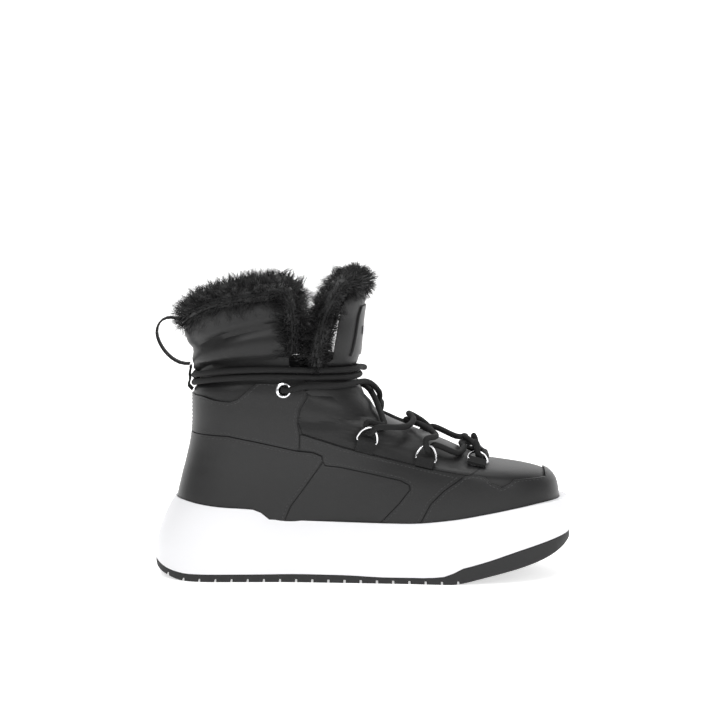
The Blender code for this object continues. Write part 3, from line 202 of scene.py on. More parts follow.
LATERAL, MEDIAL = -1, 1
ACROSS = np.array((0.0, 1.0, 0.0))

BLACK_LEATHER = "black_leather"
BLACK_PADDING = "black_padding"
BLACK_FUR = "black_fur"
BLACK_CORD = "black_cord"
BLACK_RUBBER = "black_rubber"
WHITE_SOLE = "white_sole"
SILVER = "silver"
DARK_STITCH = "dark_stitch"

# Midsole and outsole tables

# Share of the sole's length, lateral half width, medial half width.
SOLE_PLAN = (
    (0.00, 0.485 * HEEL_WIDTH, 0.485 * HEEL_WIDTH),
    (0.15, 0.500 * HEEL_WIDTH, 0.500 * HEEL_WIDTH),
    (0.30, 0.495 * HEEL_WIDTH, 0.470 * HEEL_WIDTH),
    (0.44, 0.530 * WAIST_WIDTH, 0.445 * WAIST_WIDTH),
    (0.60, 0.450 * BALL_WIDTH, 0.410 * BALL_WIDTH),
    (0.72, 0.502 * BALL_WIDTH, 0.478 * BALL_WIDTH),
    (0.82, 0.505 * BALL_WIDTH, 0.490 * BALL_WIDTH),
    (1.00, 0.490 * BALL_WIDTH, 0.480 * BALL_WIDTH),
)
HEEL_ROUND = 0.145 * SOLE_LENGTH
TOE_ROUND = 0.250 * SOLE_LENGTH

# Share of the sole's length, height of the rim.
RIM_LINE = (
    (0.000, 1.000 * HEEL_RIM_HEIGHT),
    (0.060, 0.985 * HEEL_RIM_HEIGHT),
    (0.110, 0.948 * HEEL_RIM_HEIGHT),
    (0.161, 0.920 * HEEL_RIM_HEIGHT),
    (0.240, 0.894 * HEEL_RIM_HEIGHT),
    (0.258, 0.855 * HEEL_RIM_HEIGHT),
    (0.276, 1.040 * WAIST_RIM_HEIGHT),
    (0.330, 1.030 * WAIST_RIM_HEIGHT),
    (0.505, 1.000 * WAIST_RIM_HEIGHT),
    (0.600, 0.992 * WAIST_RIM_HEIGHT),
    (0.713, 0.812 * TOE_RIM_HEIGHT),
    (0.790, 0.878 * TOE_RIM_HEIGHT),
    (0.866, 0.943 * TOE_RIM_HEIGHT),
    (0.930, 0.985 * TOE_RIM_HEIGHT),
    (1.000, 1.000 * TOE_RIM_HEIGHT),
)

# Share of the sole's length, height of the seam between outsole and midsole.
SEAM_LINE = (
    (0.000, HEEL_SPRING + 0.60 * OUTSOLE_THICKNESS),
    (0.020, 0.40 * HEEL_SPRING + 0.97 * OUTSOLE_THICKNESS),
    (0.045, 0.12 * HEEL_SPRING + 1.00 * OUTSOLE_THICKNESS),
    (0.085, 0.94 * OUTSOLE_THICKNESS),
    (0.245, 0.96 * OUTSOLE_THICKNESS),
    (0.350, 1.02 * OUTSOLE_THICKNESS),
    (0.450, 0.98 * OUTSOLE_THICKNESS),
    (0.560, 0.78 * OUTSOLE_THICKNESS),
    (0.640, 0.80 * OUTSOLE_THICKNESS),
    (0.704, 1.10 * OUTSOLE_THICKNESS),
    (0.724, 0.340 * BUMPER_HEIGHT),
    (0.745, 0.392 * BUMPER_HEIGHT),
    (0.789, 0.504 * BUMPER_HEIGHT),
    (0.866, 0.717 * BUMPER_HEIGHT),
    (0.943, 0.890 * BUMPER_HEIGHT),
    (1.000, 1.000 * BUMPER_HEIGHT),
)

# Share of the sole's length, height of the tread above the floor.
TREAD_LINE = (
    (0.000, 1.00 * HEEL_SPRING),
    (0.007, 0.64 * HEEL_SPRING),
    (0.030, 0.33 * HEEL_SPRING),
    (0.060, 0.06 * HEEL_SPRING),
    (0.080, 0.0),
    (0.715, 0.0),
    (0.745, 0.060 * TOE_SPRING),
    (0.790, 0.185 * TOE_SPRING),
    (0.836, 0.305 * TOE_SPRING),
    (0.886, 0.440 * TOE_SPRING),
    (0.943, 0.640 * TOE_SPRING),
    (0.982, 0.860 * TOE_SPRING),
    (1.000, 1.00 * TOE_SPRING),
)

# Share of the midsole's height, share of the heel, toe and side rake used there.
MIDSOLE_RAKE = (
    (0.00, 0.00, 0.00, 0.00),
    (0.28, 0.07, 0.10, -0.10),
    (0.62, 0.37, 0.35, 0.12),
    (0.86, 0.72, 0.70, 0.55),
    (1.00, 1.00, 1.00, 1.00),
)

# Share of the upper's length, height of the floor inside the cup.
FOOTBED_LINE = (
    (0.00, 1.22 * FOOTBED_HEIGHT),
    (0.18, 1.18 * FOOTBED_HEIGHT),
    (0.42, 1.02 * FOOTBED_HEIGHT),
    (0.70, 0.90 * FOOTBED_HEIGHT),
    (0.85, 1.00 * FOOTBED_HEIGHT),
    (1.00, 1.24 * FOOTBED_HEIGHT),
)

# Sections of the last, from the floor of the cup to the collar. Front and back are
# shares of the upper's length, counted from its back, and their rounds are too.
# Rise lifts the section between its ends, as a share of the collar's height, and
# puff is its padding or its crease.
BOOT_SECTIONS = (
    # front x, front z, back x, back z, front round, back round, rise, puff
    (0.986, 0.800 * TOE_RIM_HEIGHT, 0.004, 0.800 * HEEL_RIM_HEIGHT, 0.238, 0.132, 0.000, 0.0000),
    (0.989, 0.880 * TOE_RIM_HEIGHT, 0.006, 0.874 * HEEL_RIM_HEIGHT, 0.238, 0.132, 0.000, 0.0000),
    (0.987, 1.030 * TOE_RIM_HEIGHT, 0.010, 1.022 * HEEL_RIM_HEIGHT, 0.238, 0.132, 0.000, 0.0000),
    (0.981, 0.595 * INSTEP_HEIGHT, 0.017, 0.481 * ANKLE_HEIGHT, 0.238, 0.132, 0.000, 0.0000),
    (0.962, 0.657 * INSTEP_HEIGHT, 0.023, 0.531 * ANKLE_HEIGHT, 0.236, 0.132, 0.000, 0.0000),
    (0.928, 0.685 * INSTEP_HEIGHT, 0.029, 0.573 * ANKLE_HEIGHT, 0.232, 0.133, 0.000, 0.0000),
    (0.878, 0.704 * INSTEP_HEIGHT, 0.034, 0.615 * ANKLE_HEIGHT, 0.226, 0.134, 0.000, 0.0000),
    (0.821, 0.724 * INSTEP_HEIGHT, 0.039, 0.656 * ANKLE_HEIGHT, 0.220, 0.135, 0.000, 0.0000),
    (0.767, 0.774 * INSTEP_HEIGHT, 0.043, 0.698 * ANKLE_HEIGHT, 0.214, 0.136, 0.000, 0.0000),
    (0.713, 0.838 * INSTEP_HEIGHT, 0.046, 0.737 * ANKLE_HEIGHT, 0.208, 0.137, 0.000, 0.0000),
    (0.660, 0.894 * INSTEP_HEIGHT, 0.048, 0.779 * ANKLE_HEIGHT, 0.203, 0.138, 0.000, 0.0000),
    (0.606, 0.948 * INSTEP_HEIGHT, 0.049, 0.821 * ANKLE_HEIGHT, 0.198, 0.138, 0.000, 0.0000),
    (0.554, 1.003 * INSTEP_HEIGHT, 0.049, 0.866 * ANKLE_HEIGHT, 0.193, 0.139, 0.000, 0.0000),
    (0.518, 0.851 * ANKLE_HEIGHT, 0.049, 0.908 * ANKLE_HEIGHT, 0.188, 0.140, 0.006, 0.0000),
    (0.491, 0.945 * ANKLE_HEIGHT, 0.048, 0.954 * ANKLE_HEIGHT, 0.184, 0.142, 0.012, 0.0002),
    (0.468, 0.995 * ANKLE_HEIGHT, 0.056, 0.977 * ANKLE_HEIGHT, 0.180, 0.144, 0.020, -0.0008),
    (0.463, 0.726 * COLLAR_HEIGHT, 0.061, 0.695 * COLLAR_HEIGHT, 0.178, 0.146, 0.030, -0.0016),
    (0.473, 0.774 * COLLAR_HEIGHT, 0.060, 0.718 * COLLAR_HEIGHT, 0.178, 0.150, 0.046, -0.0010),
    (0.476, 0.805 * COLLAR_HEIGHT, 0.044, 0.732 * COLLAR_HEIGHT, 0.180, 0.154, 0.048, 0.0006),
    (0.479, 0.858 * COLLAR_HEIGHT, 0.042, 0.755 * COLLAR_HEIGHT, 0.182, 0.158, 0.050, 0.0012),
    (0.484, 0.926 * COLLAR_HEIGHT, 0.045, 0.783 * COLLAR_HEIGHT, 0.184, 0.162, 0.054, -0.0012),
    (0.487, 0.953 * COLLAR_HEIGHT, 0.035, 0.811 * COLLAR_HEIGHT, 0.186, 0.166, 0.056, 0.0006),
    (0.490, 0.979 * COLLAR_HEIGHT, 0.028, 0.847 * COLLAR_HEIGHT, 0.188, 0.170, 0.057, 0.0010),
    (0.491, 1.000 * COLLAR_HEIGHT, 0.023, 0.885 * COLLAR_HEIGHT, 0.190, 0.172, 0.058, 0.0000),
)
COLLAR_LEVEL = len(BOOT_SECTIONS) - 1
ANKLE_LEVEL = 14

# Share of the upper's length, half width at the feather on the lateral side, on
# the medial side, at the ankle and at the collar.
BOOT_WIDTHS = (
    (0.00, 0.50 * UPPER_HEEL_WIDTH, 0.50 * UPPER_HEEL_WIDTH, 0.460 * ANKLE_WIDTH, 0.480 * COLLAR_WIDTH),
    (0.14, 0.51 * UPPER_HEEL_WIDTH, 0.50 * UPPER_HEEL_WIDTH, 0.485 * ANKLE_WIDTH, 0.500 * COLLAR_WIDTH),
    (0.30, 0.54 * UPPER_HEEL_WIDTH, 0.49 * UPPER_HEEL_WIDTH, 0.500 * ANKLE_WIDTH, 0.500 * COLLAR_WIDTH),
    (0.42, 0.39 * UPPER_BALL_WIDTH, 0.315 * UPPER_BALL_WIDTH, 0.480 * ANKLE_WIDTH, 0.485 * COLLAR_WIDTH),
    (0.58, 0.44 * UPPER_BALL_WIDTH, 0.39 * UPPER_BALL_WIDTH, 0.450 * ANKLE_WIDTH, 0.470 * COLLAR_WIDTH),
    (0.72, 0.50 * UPPER_BALL_WIDTH, 0.47 * UPPER_BALL_WIDTH, 0.440 * ANKLE_WIDTH, 0.460 * COLLAR_WIDTH),
    (0.84, 0.50 * UPPER_BALL_WIDTH, 0.48 * UPPER_BALL_WIDTH, 0.430 * ANKLE_WIDTH, 0.460 * COLLAR_WIDTH),
    (1.00, 0.48 * UPPER_BALL_WIDTH, 0.47 * UPPER_BALL_WIDTH, 0.430 * ANKLE_WIDTH, 0.460 * COLLAR_WIDTH),
)

# Panel outlines seen from the side, each point as a share of the sole's length and
# of the collar's height.
THROAT = (
    (0.805, 0.408),
    (0.778, 0.396),
    (0.750, 0.376),
    (0.686, 0.392),
    (0.612, 0.416),
    (0.536, 0.444),
    (0.456, 0.474),
    (0.356, 0.522),
    (0.346, 0.565),
    (0.352, 0.610),
    (0.368, 0.650),
    (0.366, 0.700),
    (0.326, 0.760),
    (0.322, 0.870),
    (0.320, 1.080),
    (0.620, 1.080),
    (0.620, 0.640),
    (0.740, 0.480),
)
COUNTER = (
    (-0.05, 0.1),
    (0.314, 0.1),
    (0.314, 0.22),
    (0.327, 0.268),
    (0.357, 0.328),
    (0.386, 0.388),
    (0.4025, 0.427),
    (0.401, 0.442),
    (0.381, 0.455),
    (0.346, 0.46),
    (0.246, 0.492),
    (0.179, 0.511),
    (-0.05, 0.511),
)
QUARTER = (
    (-0.05, 0.515),
    (0.179, 0.515),
    (0.246, 0.496),
    (0.343, 0.4645),
    (0.348, 0.475),
    (0.3485, 0.522),
    (0.3425, 0.567),
    (0.3475, 0.612),
    (0.362, 0.652),
    (0.362, 0.692),
    (0.255, 0.706),
    (0.221, 0.663),
    (0.2025, 0.641),
    (0.184, 0.632),
    (0.1475, 0.636),
    (0.118, 0.646),
    (-0.05, 0.647),
)
EYESTAY = (
    (0.352, 0.517),
    (0.352, 0.4665),
    (0.382, 0.4605),
    (0.4045, 0.4465),
    (0.4065, 0.427),
    (0.411, 0.4125),
    (0.445, 0.407),
    (0.521, 0.384),
    (0.59, 0.3615),
    (0.611, 0.345),
    (0.613, 0.328),
    (0.586, 0.277),
    (0.544, 0.2116),
    (0.535, 0.1),
    (0.625, 0.1),
    (0.6345, 0.2116),
    (0.6575, 0.2795),
    (0.688, 0.325),
    (0.7365, 0.3755),
    (0.728, 0.3765),
    (0.686, 0.3885),
    (0.612, 0.4125),
    (0.536, 0.4405),
    (0.456, 0.4705),
    (0.356, 0.5185),
)
SIDE_PANEL_OUTLINE = (
    (0.317, 0.1),
    (0.532, 0.1),
    (0.541, 0.2116),
    (0.583, 0.279),
    (0.6095, 0.329),
    (0.6075, 0.3435),
    (0.588, 0.358),
    (0.52, 0.38),
    (0.444, 0.403),
    (0.409, 0.409),
    (0.4055, 0.42),
    (0.389, 0.386),
    (0.36, 0.326),
    (0.33, 0.266),
    (0.317, 0.22),
)
TOE_GUARD = (
    (0.632, 0.1),
    (0.639, 0.215),
    (0.661, 0.2785),
    (0.692, 0.325),
    (0.7415, 0.3765),
    (0.7625, 0.3785),
    (0.789, 0.37),
    (0.801, 0.3505),
    (0.828, 0.333),
    (0.847, 0.345),
    (0.8585, 0.359),
    (0.937, 0.357),
    (0.94, 0.5),
    (1.1, 0.5),
    (1.1, 0.1),
)

# What the tongue leaves free behind its edges above the laces, and above its top.
TONGUE_EDGE = (
    (-0.10, 0.740),
    (0.345, 0.740),
    (0.428, 0.775),
    (0.438, 0.860),
    (0.450, 0.965),
    (0.475, 1.010),
    (0.560, 1.026),
    (0.560, 1.300),
    (-0.10, 1.300),
)

# The fur roll in front of the cuff's edge, and the tongue's fur roll: shares of the
# sole's length and of the collar's height.
FUR_EDGE = 0.318
TONGUE_FUR = ((0.388, 0.745), (0.392, 0.790), (0.400, 0.850), (0.412, 0.920), (0.432, 0.985))

# The tongue's patch from the front: shares of the collar's width and height.
PATCH_OUTLINE = ((-0.25, 0.785), (0.25, 0.785), (0.18, 0.958), (-0.18, 0.958))
BADGE_PLACE = 0.870

# The pull loop: how far behind its foot and how far up to its top, as shares of its height.
PULL_LOOP = (
    (0.19, 0.01),
    (0.40, 0.11),
    (0.60, 0.30),
    (0.74, 0.54),
    (0.79, 0.74),
    (0.76, 0.92),
    (0.66, 1.05),
    (0.52, 1.11),
    (0.34, 1.10),
)

# Each ring's bar: share of the sole's length, of the collar's height, and how far
# its strap reaches down over the pad, as a share of the collar's height.
RINGS = (
    (0.770, 0.404, 0.026),
    (0.646, 0.425, 0.024),
    (0.508, 0.496, 0.040),
)

# Distance between the sections of the shells that follow the last, in rows of BOOT_SECTIONS
LEVEL_STEP = 0.4


# Curves


def smooth(table, at):
    """Each later column of a table at the places asked for, as a curve that never overshoots."""
    rows = np.array(table, float)
    places, values = rows[:, 0], rows[:, 1:]
    at = np.clip(np.asarray(at, float), places[0], places[-1])
    step = np.diff(places)[:, None]
    slope = np.diff(values, axis=0) / step
    tangent = np.zeros_like(values)
    before, after = slope[:-1], slope[1:]
    same_way = before * after > 0
    total = np.where(same_way, before + after, 1.0)
    tangent[1:-1] = np.where(same_way, 2 * before * after / total, 0.0)
    tangent[0], tangent[-1] = slope[0], slope[-1]
    index = np.clip(np.searchsorted(places, at, side="right") - 1, 0, len(places) - 2)
    width = step[index, 0]
    share = ((at - places[index]) / width)[..., None]
    width = width[..., None]
    return (
        values[index] * (1 + 2 * share) * (1 - share) ** 2
        + values[index + 1] * (3 - 2 * share) * share**2
        + tangent[index] * width * share * (1 - share) ** 2
        - tangent[index + 1] * width * share**2 * (1 - share)
    )


def end_round(distance, depth, power=2.2):
    """How full a plan is at a distance from its end: 0 at the end, 1 past the rounded depth."""
    share = np.clip(distance / depth, 0.0, 1.0)
    return (1 - (1 - share) ** power) ** (1 / power)


def ease(value):
    value = np.clip(value, 0.0, 1.0)
    return value * value * (3 - 2 * value)


def round_trip(columns):
    """Places and sides once round a plan, from the front by the lateral side and back by the medial."""
    there = (1 + np.cos(np.pi * np.arange(columns + 1) / columns)) / 2
    places = np.concatenate([there, there[-2:0:-1]])
    sides = np.concatenate([np.full(columns + 1, LATERAL), np.full(columns - 1, MEDIAL)])
    return places, sides


def axis_sway(x):
    """The last swings towards the big toe in front of the waist."""
    return TOE_SWING * ease((x / SOLE_LENGTH - 0.50) / 0.50)


# Surfaces of sole and last


def sole_ring(x_back, x_front, height_line, inset, places, sides):
    """One level of the sole: its plan between two ends, drawn in by an inset."""
    x = x_back + (x_front - x_back) * places
    plan = smooth(SOLE_PLAN, x / SOLE_LENGTH)
    half = np.where(sides == LATERAL, plan[:, 0], plan[:, 1]) - inset
    full = end_round(x - x_back, HEEL_ROUND) * end_round(x_front - x, TOE_ROUND)
    z = height_line(x)
    return np.stack([x, axis_sway(x) + sides * half * full, z], axis=1)


def line_height(table):
    return lambda x: smooth(table, x / SOLE_LENGTH)[..., 0]


def footbed(x):
    return smooth(FOOTBED_LINE, (x - UPPER_BACK) / UPPER_LENGTH)[..., 0]


def boot_point(level, place, side):
    """Points of the last's outer surface.

    A level is a section, 0 at the cup's floor and COLLAR_LEVEL at the collar. A place runs
    along the section from the back (0) to the front (1).
    """
    level, place, side = np.broadcast_arrays(np.asarray(level, float), place, side)
    numbered = [(number, *row) for number, row in enumerate(BOOT_SECTIONS)]
    front_x, front_z, back_x, back_z, front_round, back_round, rise, puff = np.moveaxis(
        smooth(numbered, level), -1, 0
    )
    length = front_x - back_x
    x_share = back_x + length * place
    widths = smooth(BOOT_WIDTHS, x_share)
    feather = np.where(side == LATERAL, widths[..., 0], widths[..., 1])
    up_foot = ease((level - 1.0) / (ANKLE_LEVEL - 1.0))
    up_shaft = ease((level - ANKLE_LEVEL) / (COLLAR_LEVEL - ANKLE_LEVEL))
    half = feather + (widths[..., 2] - feather) * up_foot + (widths[..., 3] - widths[..., 2]) * up_shaft
    full = end_round(place * length, back_round) * end_round((1 - place) * length, front_round)
    x = UPPER_BACK + UPPER_LENGTH * x_share
    z = back_z + (front_z - back_z) * place + rise * COLLAR_HEIGHT * np.sin(np.pi * place**0.6)
    floor = footbed(x) + GAP
    z = np.where(level < 1.0, floor + (z - floor) * ease(level), z)
    y = axis_sway(x) + side * (half + puff) * full
    return np.stack([x, y, z], axis=-1)


def between(low, high):
    """Sections from one to another, LEVEL_STEP apart."""
    return np.linspace(low, high, int(round((high - low) / LEVEL_STEP)) + 1)


def boot_grid(levels, columns, out, pressed=0.0):
    """Closed rings of the last's surface, moved off it along its own normals, with the creases pressed in."""
    places, sides = round_trip(columns)
    level, place = np.meshgrid(levels, places, indexing="ij")
    side = np.broadcast_to(sides, level.shape)
    points = boot_point(level, place, side)
    along = np.roll(points, -1, axis=1) - np.roll(points, 1, axis=1)
    up = np.gradient(points, axis=0)
    normal = np.cross(up, along)
    normal /= np.linalg.norm(normal, axis=2, keepdims=True)
    return points + normal * (out + pressed * creases(points))[..., None]


# Meshes


def solid(name, points, faces, look):
    """A closed mesh with its faces pointing out."""
    mesh = bpy.data.meshes.new(name)
    mesh.from_pydata([tuple(point) for point in points], [], faces)
    work = bmesh.new()
    work.from_mesh(mesh)
    bmesh.ops.recalc_face_normals(work, faces=work.faces[:])
    if work.calc_volume(signed=True) < 0:
        bmesh.ops.reverse_faces(work, faces=work.faces[:])
    work.to_mesh(mesh)
    work.free()
    piece = bpy.data.objects.new(name + SHOWN, mesh)
    bpy.context.scene.collection.objects.link(piece)
    if look is not None:
        mesh.materials.append(material(look))
    return piece


def side_faces(rings, count, rising=None):
    """Triangles between rings of the same number of points.

    Rings past the rising ones run down again, and their diagonals are turned so that
    two offsets of one surface are split alike.
    """
    faces = []
    for ring in range(rings - 1):
        low, high = ring * count, (ring + 1) * count
        for index in range(count):
            after = (index + 1) % count
            if rising is None or ring < rising:
                faces.append((low + index, low + after, high + after))
                faces.append((low + index, high + after, high + index))
            else:
                faces.append((low + index, low + after, high + index))
                faces.append((low + after, high + after, high + index))
    return faces


def strip_cap(start, columns):
    """A lid over one ring of a plan: strips between the lateral and the medial side."""
    last = 2 * columns
    faces = [(start, start + 1, start + last - 1)]
    for index in range(1, columns - 1):
        near, far = start + index, start + last - index
        faces.append((near, near + 1, far - 1, far))
    faces.append((start + columns - 1, start + columns, start + columns + 1))
    return faces


def lofted(name, rings, look):
    """A closed body through rings of a plan, with a lid on the first and the last."""
    count = rings.shape[1]
    columns = count // 2
    faces = side_faces(len(rings), count)
    faces += strip_cap(0, columns)
    faces += strip_cap((len(rings) - 1) * count, columns)
    return solid(name, rings.reshape(-1, 3), faces, look)


def tube(name, rings, look, closed=False, rising=None):
    """A closed body through small rings along a path."""
    count = rings.shape[1]
    faces = side_faces(len(rings), count, rising)
    if closed:
        last = (len(rings) - 1) * count
        faces += [
            (last + index, last + (index + 1) % count, (index + 1) % count, index)
            for index in range(count)
        ]
    else:
        faces.append(tuple(range(count)))
        faces.append(tuple(range(len(rings) * count - count, len(rings) * count)))
    return solid(name, rings.reshape(-1, 3), faces, look)


def side_prism(name, outline, near=-0.5 * SOLE_LENGTH, far=0.5 * SOLE_LENGTH):
    """An outline seen from the side, in shares of sole length and collar height, drawn across."""
    x_z = np.array(outline, float) * (SOLE_LENGTH, COLLAR_HEIGHT)
    return prism(name, x_z, near, far)


def prism(name, x_z, near, far):
    count = len(x_z)
    points = [(x, y, z) for y in (near, far) for x, z in x_z]
    faces = [tuple(range(count)), tuple(range(2 * count - 1, count - 1, -1))]
    faces += side_faces(2, count)
    body = solid(name, points, faces, None)
    work = bmesh.new()
    work.from_mesh(body.data)
    bmesh.ops.triangulate(work, faces=work.faces[:])
    work.to_mesh(body.data)
    work.free()
    return body


def box(name, low, high):
    x_z = ((low[0], low[2]), (high[0], low[2]), (high[0], high[2]), (low[0], high[2]))
    return prism(name, np.array(x_z), low[1], high[1])


def carve(piece, tool, operation="DIFFERENCE", keep_tool=False):
    """Cut, join or intersect a piece with a tool, and keep the result in its mesh."""
    step = piece.modifiers.new(operation.lower(), "BOOLEAN")
    step.operation = operation
    step.solver = "EXACT"
    step.object = tool
    graph = bpy.context.evaluated_depsgraph_get()
    result = bpy.data.meshes.new_from_object(piece.evaluated_get(graph))
    old = piece.data
    piece.modifiers.clear()
    piece.data = result
    result.name = piece.name
    bpy.data.meshes.remove(old)
    if not keep_tool:
        drop(tool)
    return piece


def drop(piece):
    mesh = piece.data
    bpy.data.objects.remove(piece)
    bpy.data.meshes.remove(mesh)


def largest_body(piece):
    """Keep the largest connected body of a mesh."""
    work = bmesh.new()
    work.from_mesh(piece.data)
    unseen = set(work.verts)
    bodies = []
    while unseen:
        start = unseen.pop()
        body, edge = {start}, [start]
        while edge:
            vertex = edge.pop()
            for link in vertex.link_edges:
                other = link.other_vert(vertex)
                if other not in body:
                    body.add(other)
                    edge.append(other)
        unseen -= body
        bodies.append(body)
    bodies.sort(key=len)
    spare = [vertex for body in bodies[:-1] for vertex in body]
    bmesh.ops.delete(work, geom=spare, context="VERTS")
    bmesh.ops.dissolve_degenerate(work, dist=1e-6, edges=work.edges[:])
    work.to_mesh(piece.data)
    work.free()
    return piece


def shell(name, outer, inner, levels, look=None, above=0.0, below=0.0, pressed=0.0):
    """The space between two offsets of the last, open below and at the collar."""
    outside = boot_grid(levels, UPPER_COLUMNS, outer, pressed)
    inside = boot_grid(levels, UPPER_COLUMNS, inner)
    for grid in (outside, inside):
        grid[-1, :, 2] += above
        grid[0, :, 2] -= below
    return tube(name, np.concatenate([outside, inside[::-1]]), look, True, len(levels))


def grown(outline, distance):
    """A closed outline in shares, moved outwards by a length in metres."""
    x_z = np.array(outline, float) * (SOLE_LENGTH, COLLAR_HEIGHT)
    ahead = np.roll(x_z, -1, axis=0) - x_z
    area = np.sum(x_z[:, 0] * np.roll(x_z[:, 1], -1) - np.roll(x_z[:, 0], -1) * x_z[:, 1])
    normal = np.stack([ahead[:, 1], -ahead[:, 0]], axis=1) * np.sign(area)
    normal /= np.linalg.norm(normal, axis=1, keepdims=True)
    middle = normal + np.roll(normal, 1, axis=0)
    middle /= np.sum(middle * normal, axis=1, keepdims=True)
    return (x_z + middle * distance) / (SOLE_LENGTH, COLLAR_HEIGHT)


# Sole pieces


def make_outsole():
    places, sides = round_trip(SOLE_COLUMNS)
    tread, seam = line_height(TREAD_LINE), line_height(SEAM_LINE)
    edge = GAP * 3
    rings = [
        sole_ring(edge, SOLE_LENGTH - edge, tread, edge, places, sides),
        sole_ring(0.0, SOLE_LENGTH, lambda x: tread(x) + edge, 0.0, places, sides),
        sole_ring(0.0, SOLE_LENGTH, lambda x: seam(x) - GAP, 0.0, places, sides),
    ]
    outsole = lofted("outsole", np.array(rings), BLACK_RUBBER)
    for number in range(GROOVE_COUNT):
        x = FIRST_GROOVE + number * GROOVE_PITCH
        floor = float(tread(np.array([x]))[0])
        cut = box(
            "groove",
            (x - GROOVE_WIDTH / 2, -BALL_WIDTH, floor - GROOVE_DEPTH),
            (x + GROOVE_WIDTH / 2, BALL_WIDTH, floor + GROOVE_DEPTH),
        )
        carve(outsole, cut)
    return outsole


def make_midsole():
    places, sides = round_trip(SOLE_COLUMNS)
    rim, seam = line_height(RIM_LINE), line_height(SEAM_LINE)
    rings = []
    for share in np.linspace(0.0, 1.0, 24):
        heel, toe, side = smooth(MIDSOLE_RAKE, [share])[0]
        rings.append(
            sole_ring(
                heel * HEEL_RAKE,
                SOLE_LENGTH - toe * TOE_RAKE,
                lambda x: seam(x) + (rim(x) - seam(x)) * share,
                side * SIDE_RAKE,
                places,
                sides,
            )
        )
    midsole = lofted("midsole", np.array(rings), WHITE_SOLE)
    recess = boot_grid(between(0.0, 3.0), UPPER_COLUMNS, OVERLAY + 2 * GAP)
    recess[0, :, 2] -= GAP
    carve(midsole, lofted("recess", recess, None))
    return midsole


def make_insole():
    plan = boot_grid(between(0.0, 1.6), UPPER_COLUMNS, -WALL - 3 * GAP)
    ring = plan[0].copy()
    ring[:, 2] = footbed(ring[:, 0]) + GAP
    top = ring + (0.0, 0.0, INSOLE_THICKNESS)
    return lofted("insole", np.array([ring, top]), BLACK_PADDING)


# Upper, tongue and overlays


def make_upper():
    upper = shell("upper", 0.0, -WALL, between(0.0, COLLAR_LEVEL), BLACK_PADDING, 0.0, 0.0, CREASE_DEPTH)
    carve(upper, side_prism("throat", THROAT))
    return upper


def upper_clearance(outer):
    """The room that the upper's wall takes, with a gap all round it."""
    room = shell("room", outer, -WALL - GAP, between(0.0, COLLAR_LEVEL), None, GAP, 2 * GAP)
    return carve(room, side_prism("throat", grown(THROAT, -GAP)))


def padded_tongue(name, room):
    """The tongue's pad, or the room it takes when grown by a gap."""
    outside = boot_grid(between(4.0, COLLAR_LEVEL), UPPER_COLUMNS, room, CREASE_DEPTH if room == 0 else 0.0)
    inside = boot_grid(between(4.0, COLLAR_LEVEL), UPPER_COLUMNS, -WALL - GAP - TONGUE_PAD - room)
    higher = (0.0008, 0.0, TONGUE_TOP - COLLAR_HEIGHT + 0.004)
    outside = np.concatenate([outside, outside[-1:] + higher])
    inside = np.concatenate([inside, inside[-1:] + higher])
    both = np.concatenate([outside, inside[::-1]])
    tongue = tube(name, both, BLACK_PADDING, True, len(outside))
    carve(tongue, side_prism("reach", grown(THROAT, TONGUE_TUCK + room)), "INTERSECT")
    return carve(tongue, side_prism("edge", grown(TONGUE_EDGE, -room)))


def make_tongue():
    tongue = padded_tongue("tongue", 0.0)
    carve(tongue, upper_clearance(2 * OVERLAY))
    return largest_body(tongue)


def overlay(name, outline, thickness=OVERLAY, near=-0.5 * SOLE_LENGTH, far=0.5 * SOLE_LENGTH):
    panel = shell(name, GAP + thickness, GAP, between(0.0, 15.0), BLACK_LEATHER, 0.0, -2 * GAP)
    carve(panel, side_prism("outline", outline, near, far), "INTERSECT")
    return largest_body(panel)


def make_overlays():
    overlay("heel_counter", COUNTER)
    overlay("quarter", QUARTER)
    overlay("toe_guard", TOE_GUARD)
    for side, label in ((LATERAL, "lateral"), (MEDIAL, "medial")):
        near, far = sorted((0.0, side * 0.5 * SOLE_LENGTH))
        overlay(f"eyestay_{label}", EYESTAY, OVERLAY, near, far)
        overlay(f"side_panel_{label}", SIDE_PANEL_OUTLINE, SIDE_PANEL, near, far)


# Places on the last


def at_place(x, z, side):
    """The section and the angle round it of a point seen from the side; angle 0 is the front ridge."""
    low, high = 0.5, float(COLLAR_LEVEL)
    for _ in range(40):
        level = (low + high) / 2
        row = smooth([(number, *line) for number, line in enumerate(BOOT_SECTIONS)], [level])[0]
        share = ((x - UPPER_BACK) / UPPER_LENGTH - row[2]) / (row[0] - row[2])
        share = min(max(share, 0.0), 1.0)
        if boot_point([level], share, side)[0, 2] < z:
            low = level
        else:
            high = level
    return level, side * math.acos(2 * share - 1)


def at_ridge(z):
    """The section whose front lies at a height."""
    low, high = 0.5, float(COLLAR_LEVEL)
    for _ in range(40):
        level = (low + high) / 2
        if boot_point([level], 1.0, LATERAL)[0, 2] < z:
            low = level
        else:
            high = level
    return level, 0.0


def last_point(level, angle):
    angle = (angle + math.pi) % (2 * math.pi) - math.pi
    side = LATERAL if angle < 0 else MEDIAL
    return boot_point([level], (1 + math.cos(angle)) / 2, side)[0]


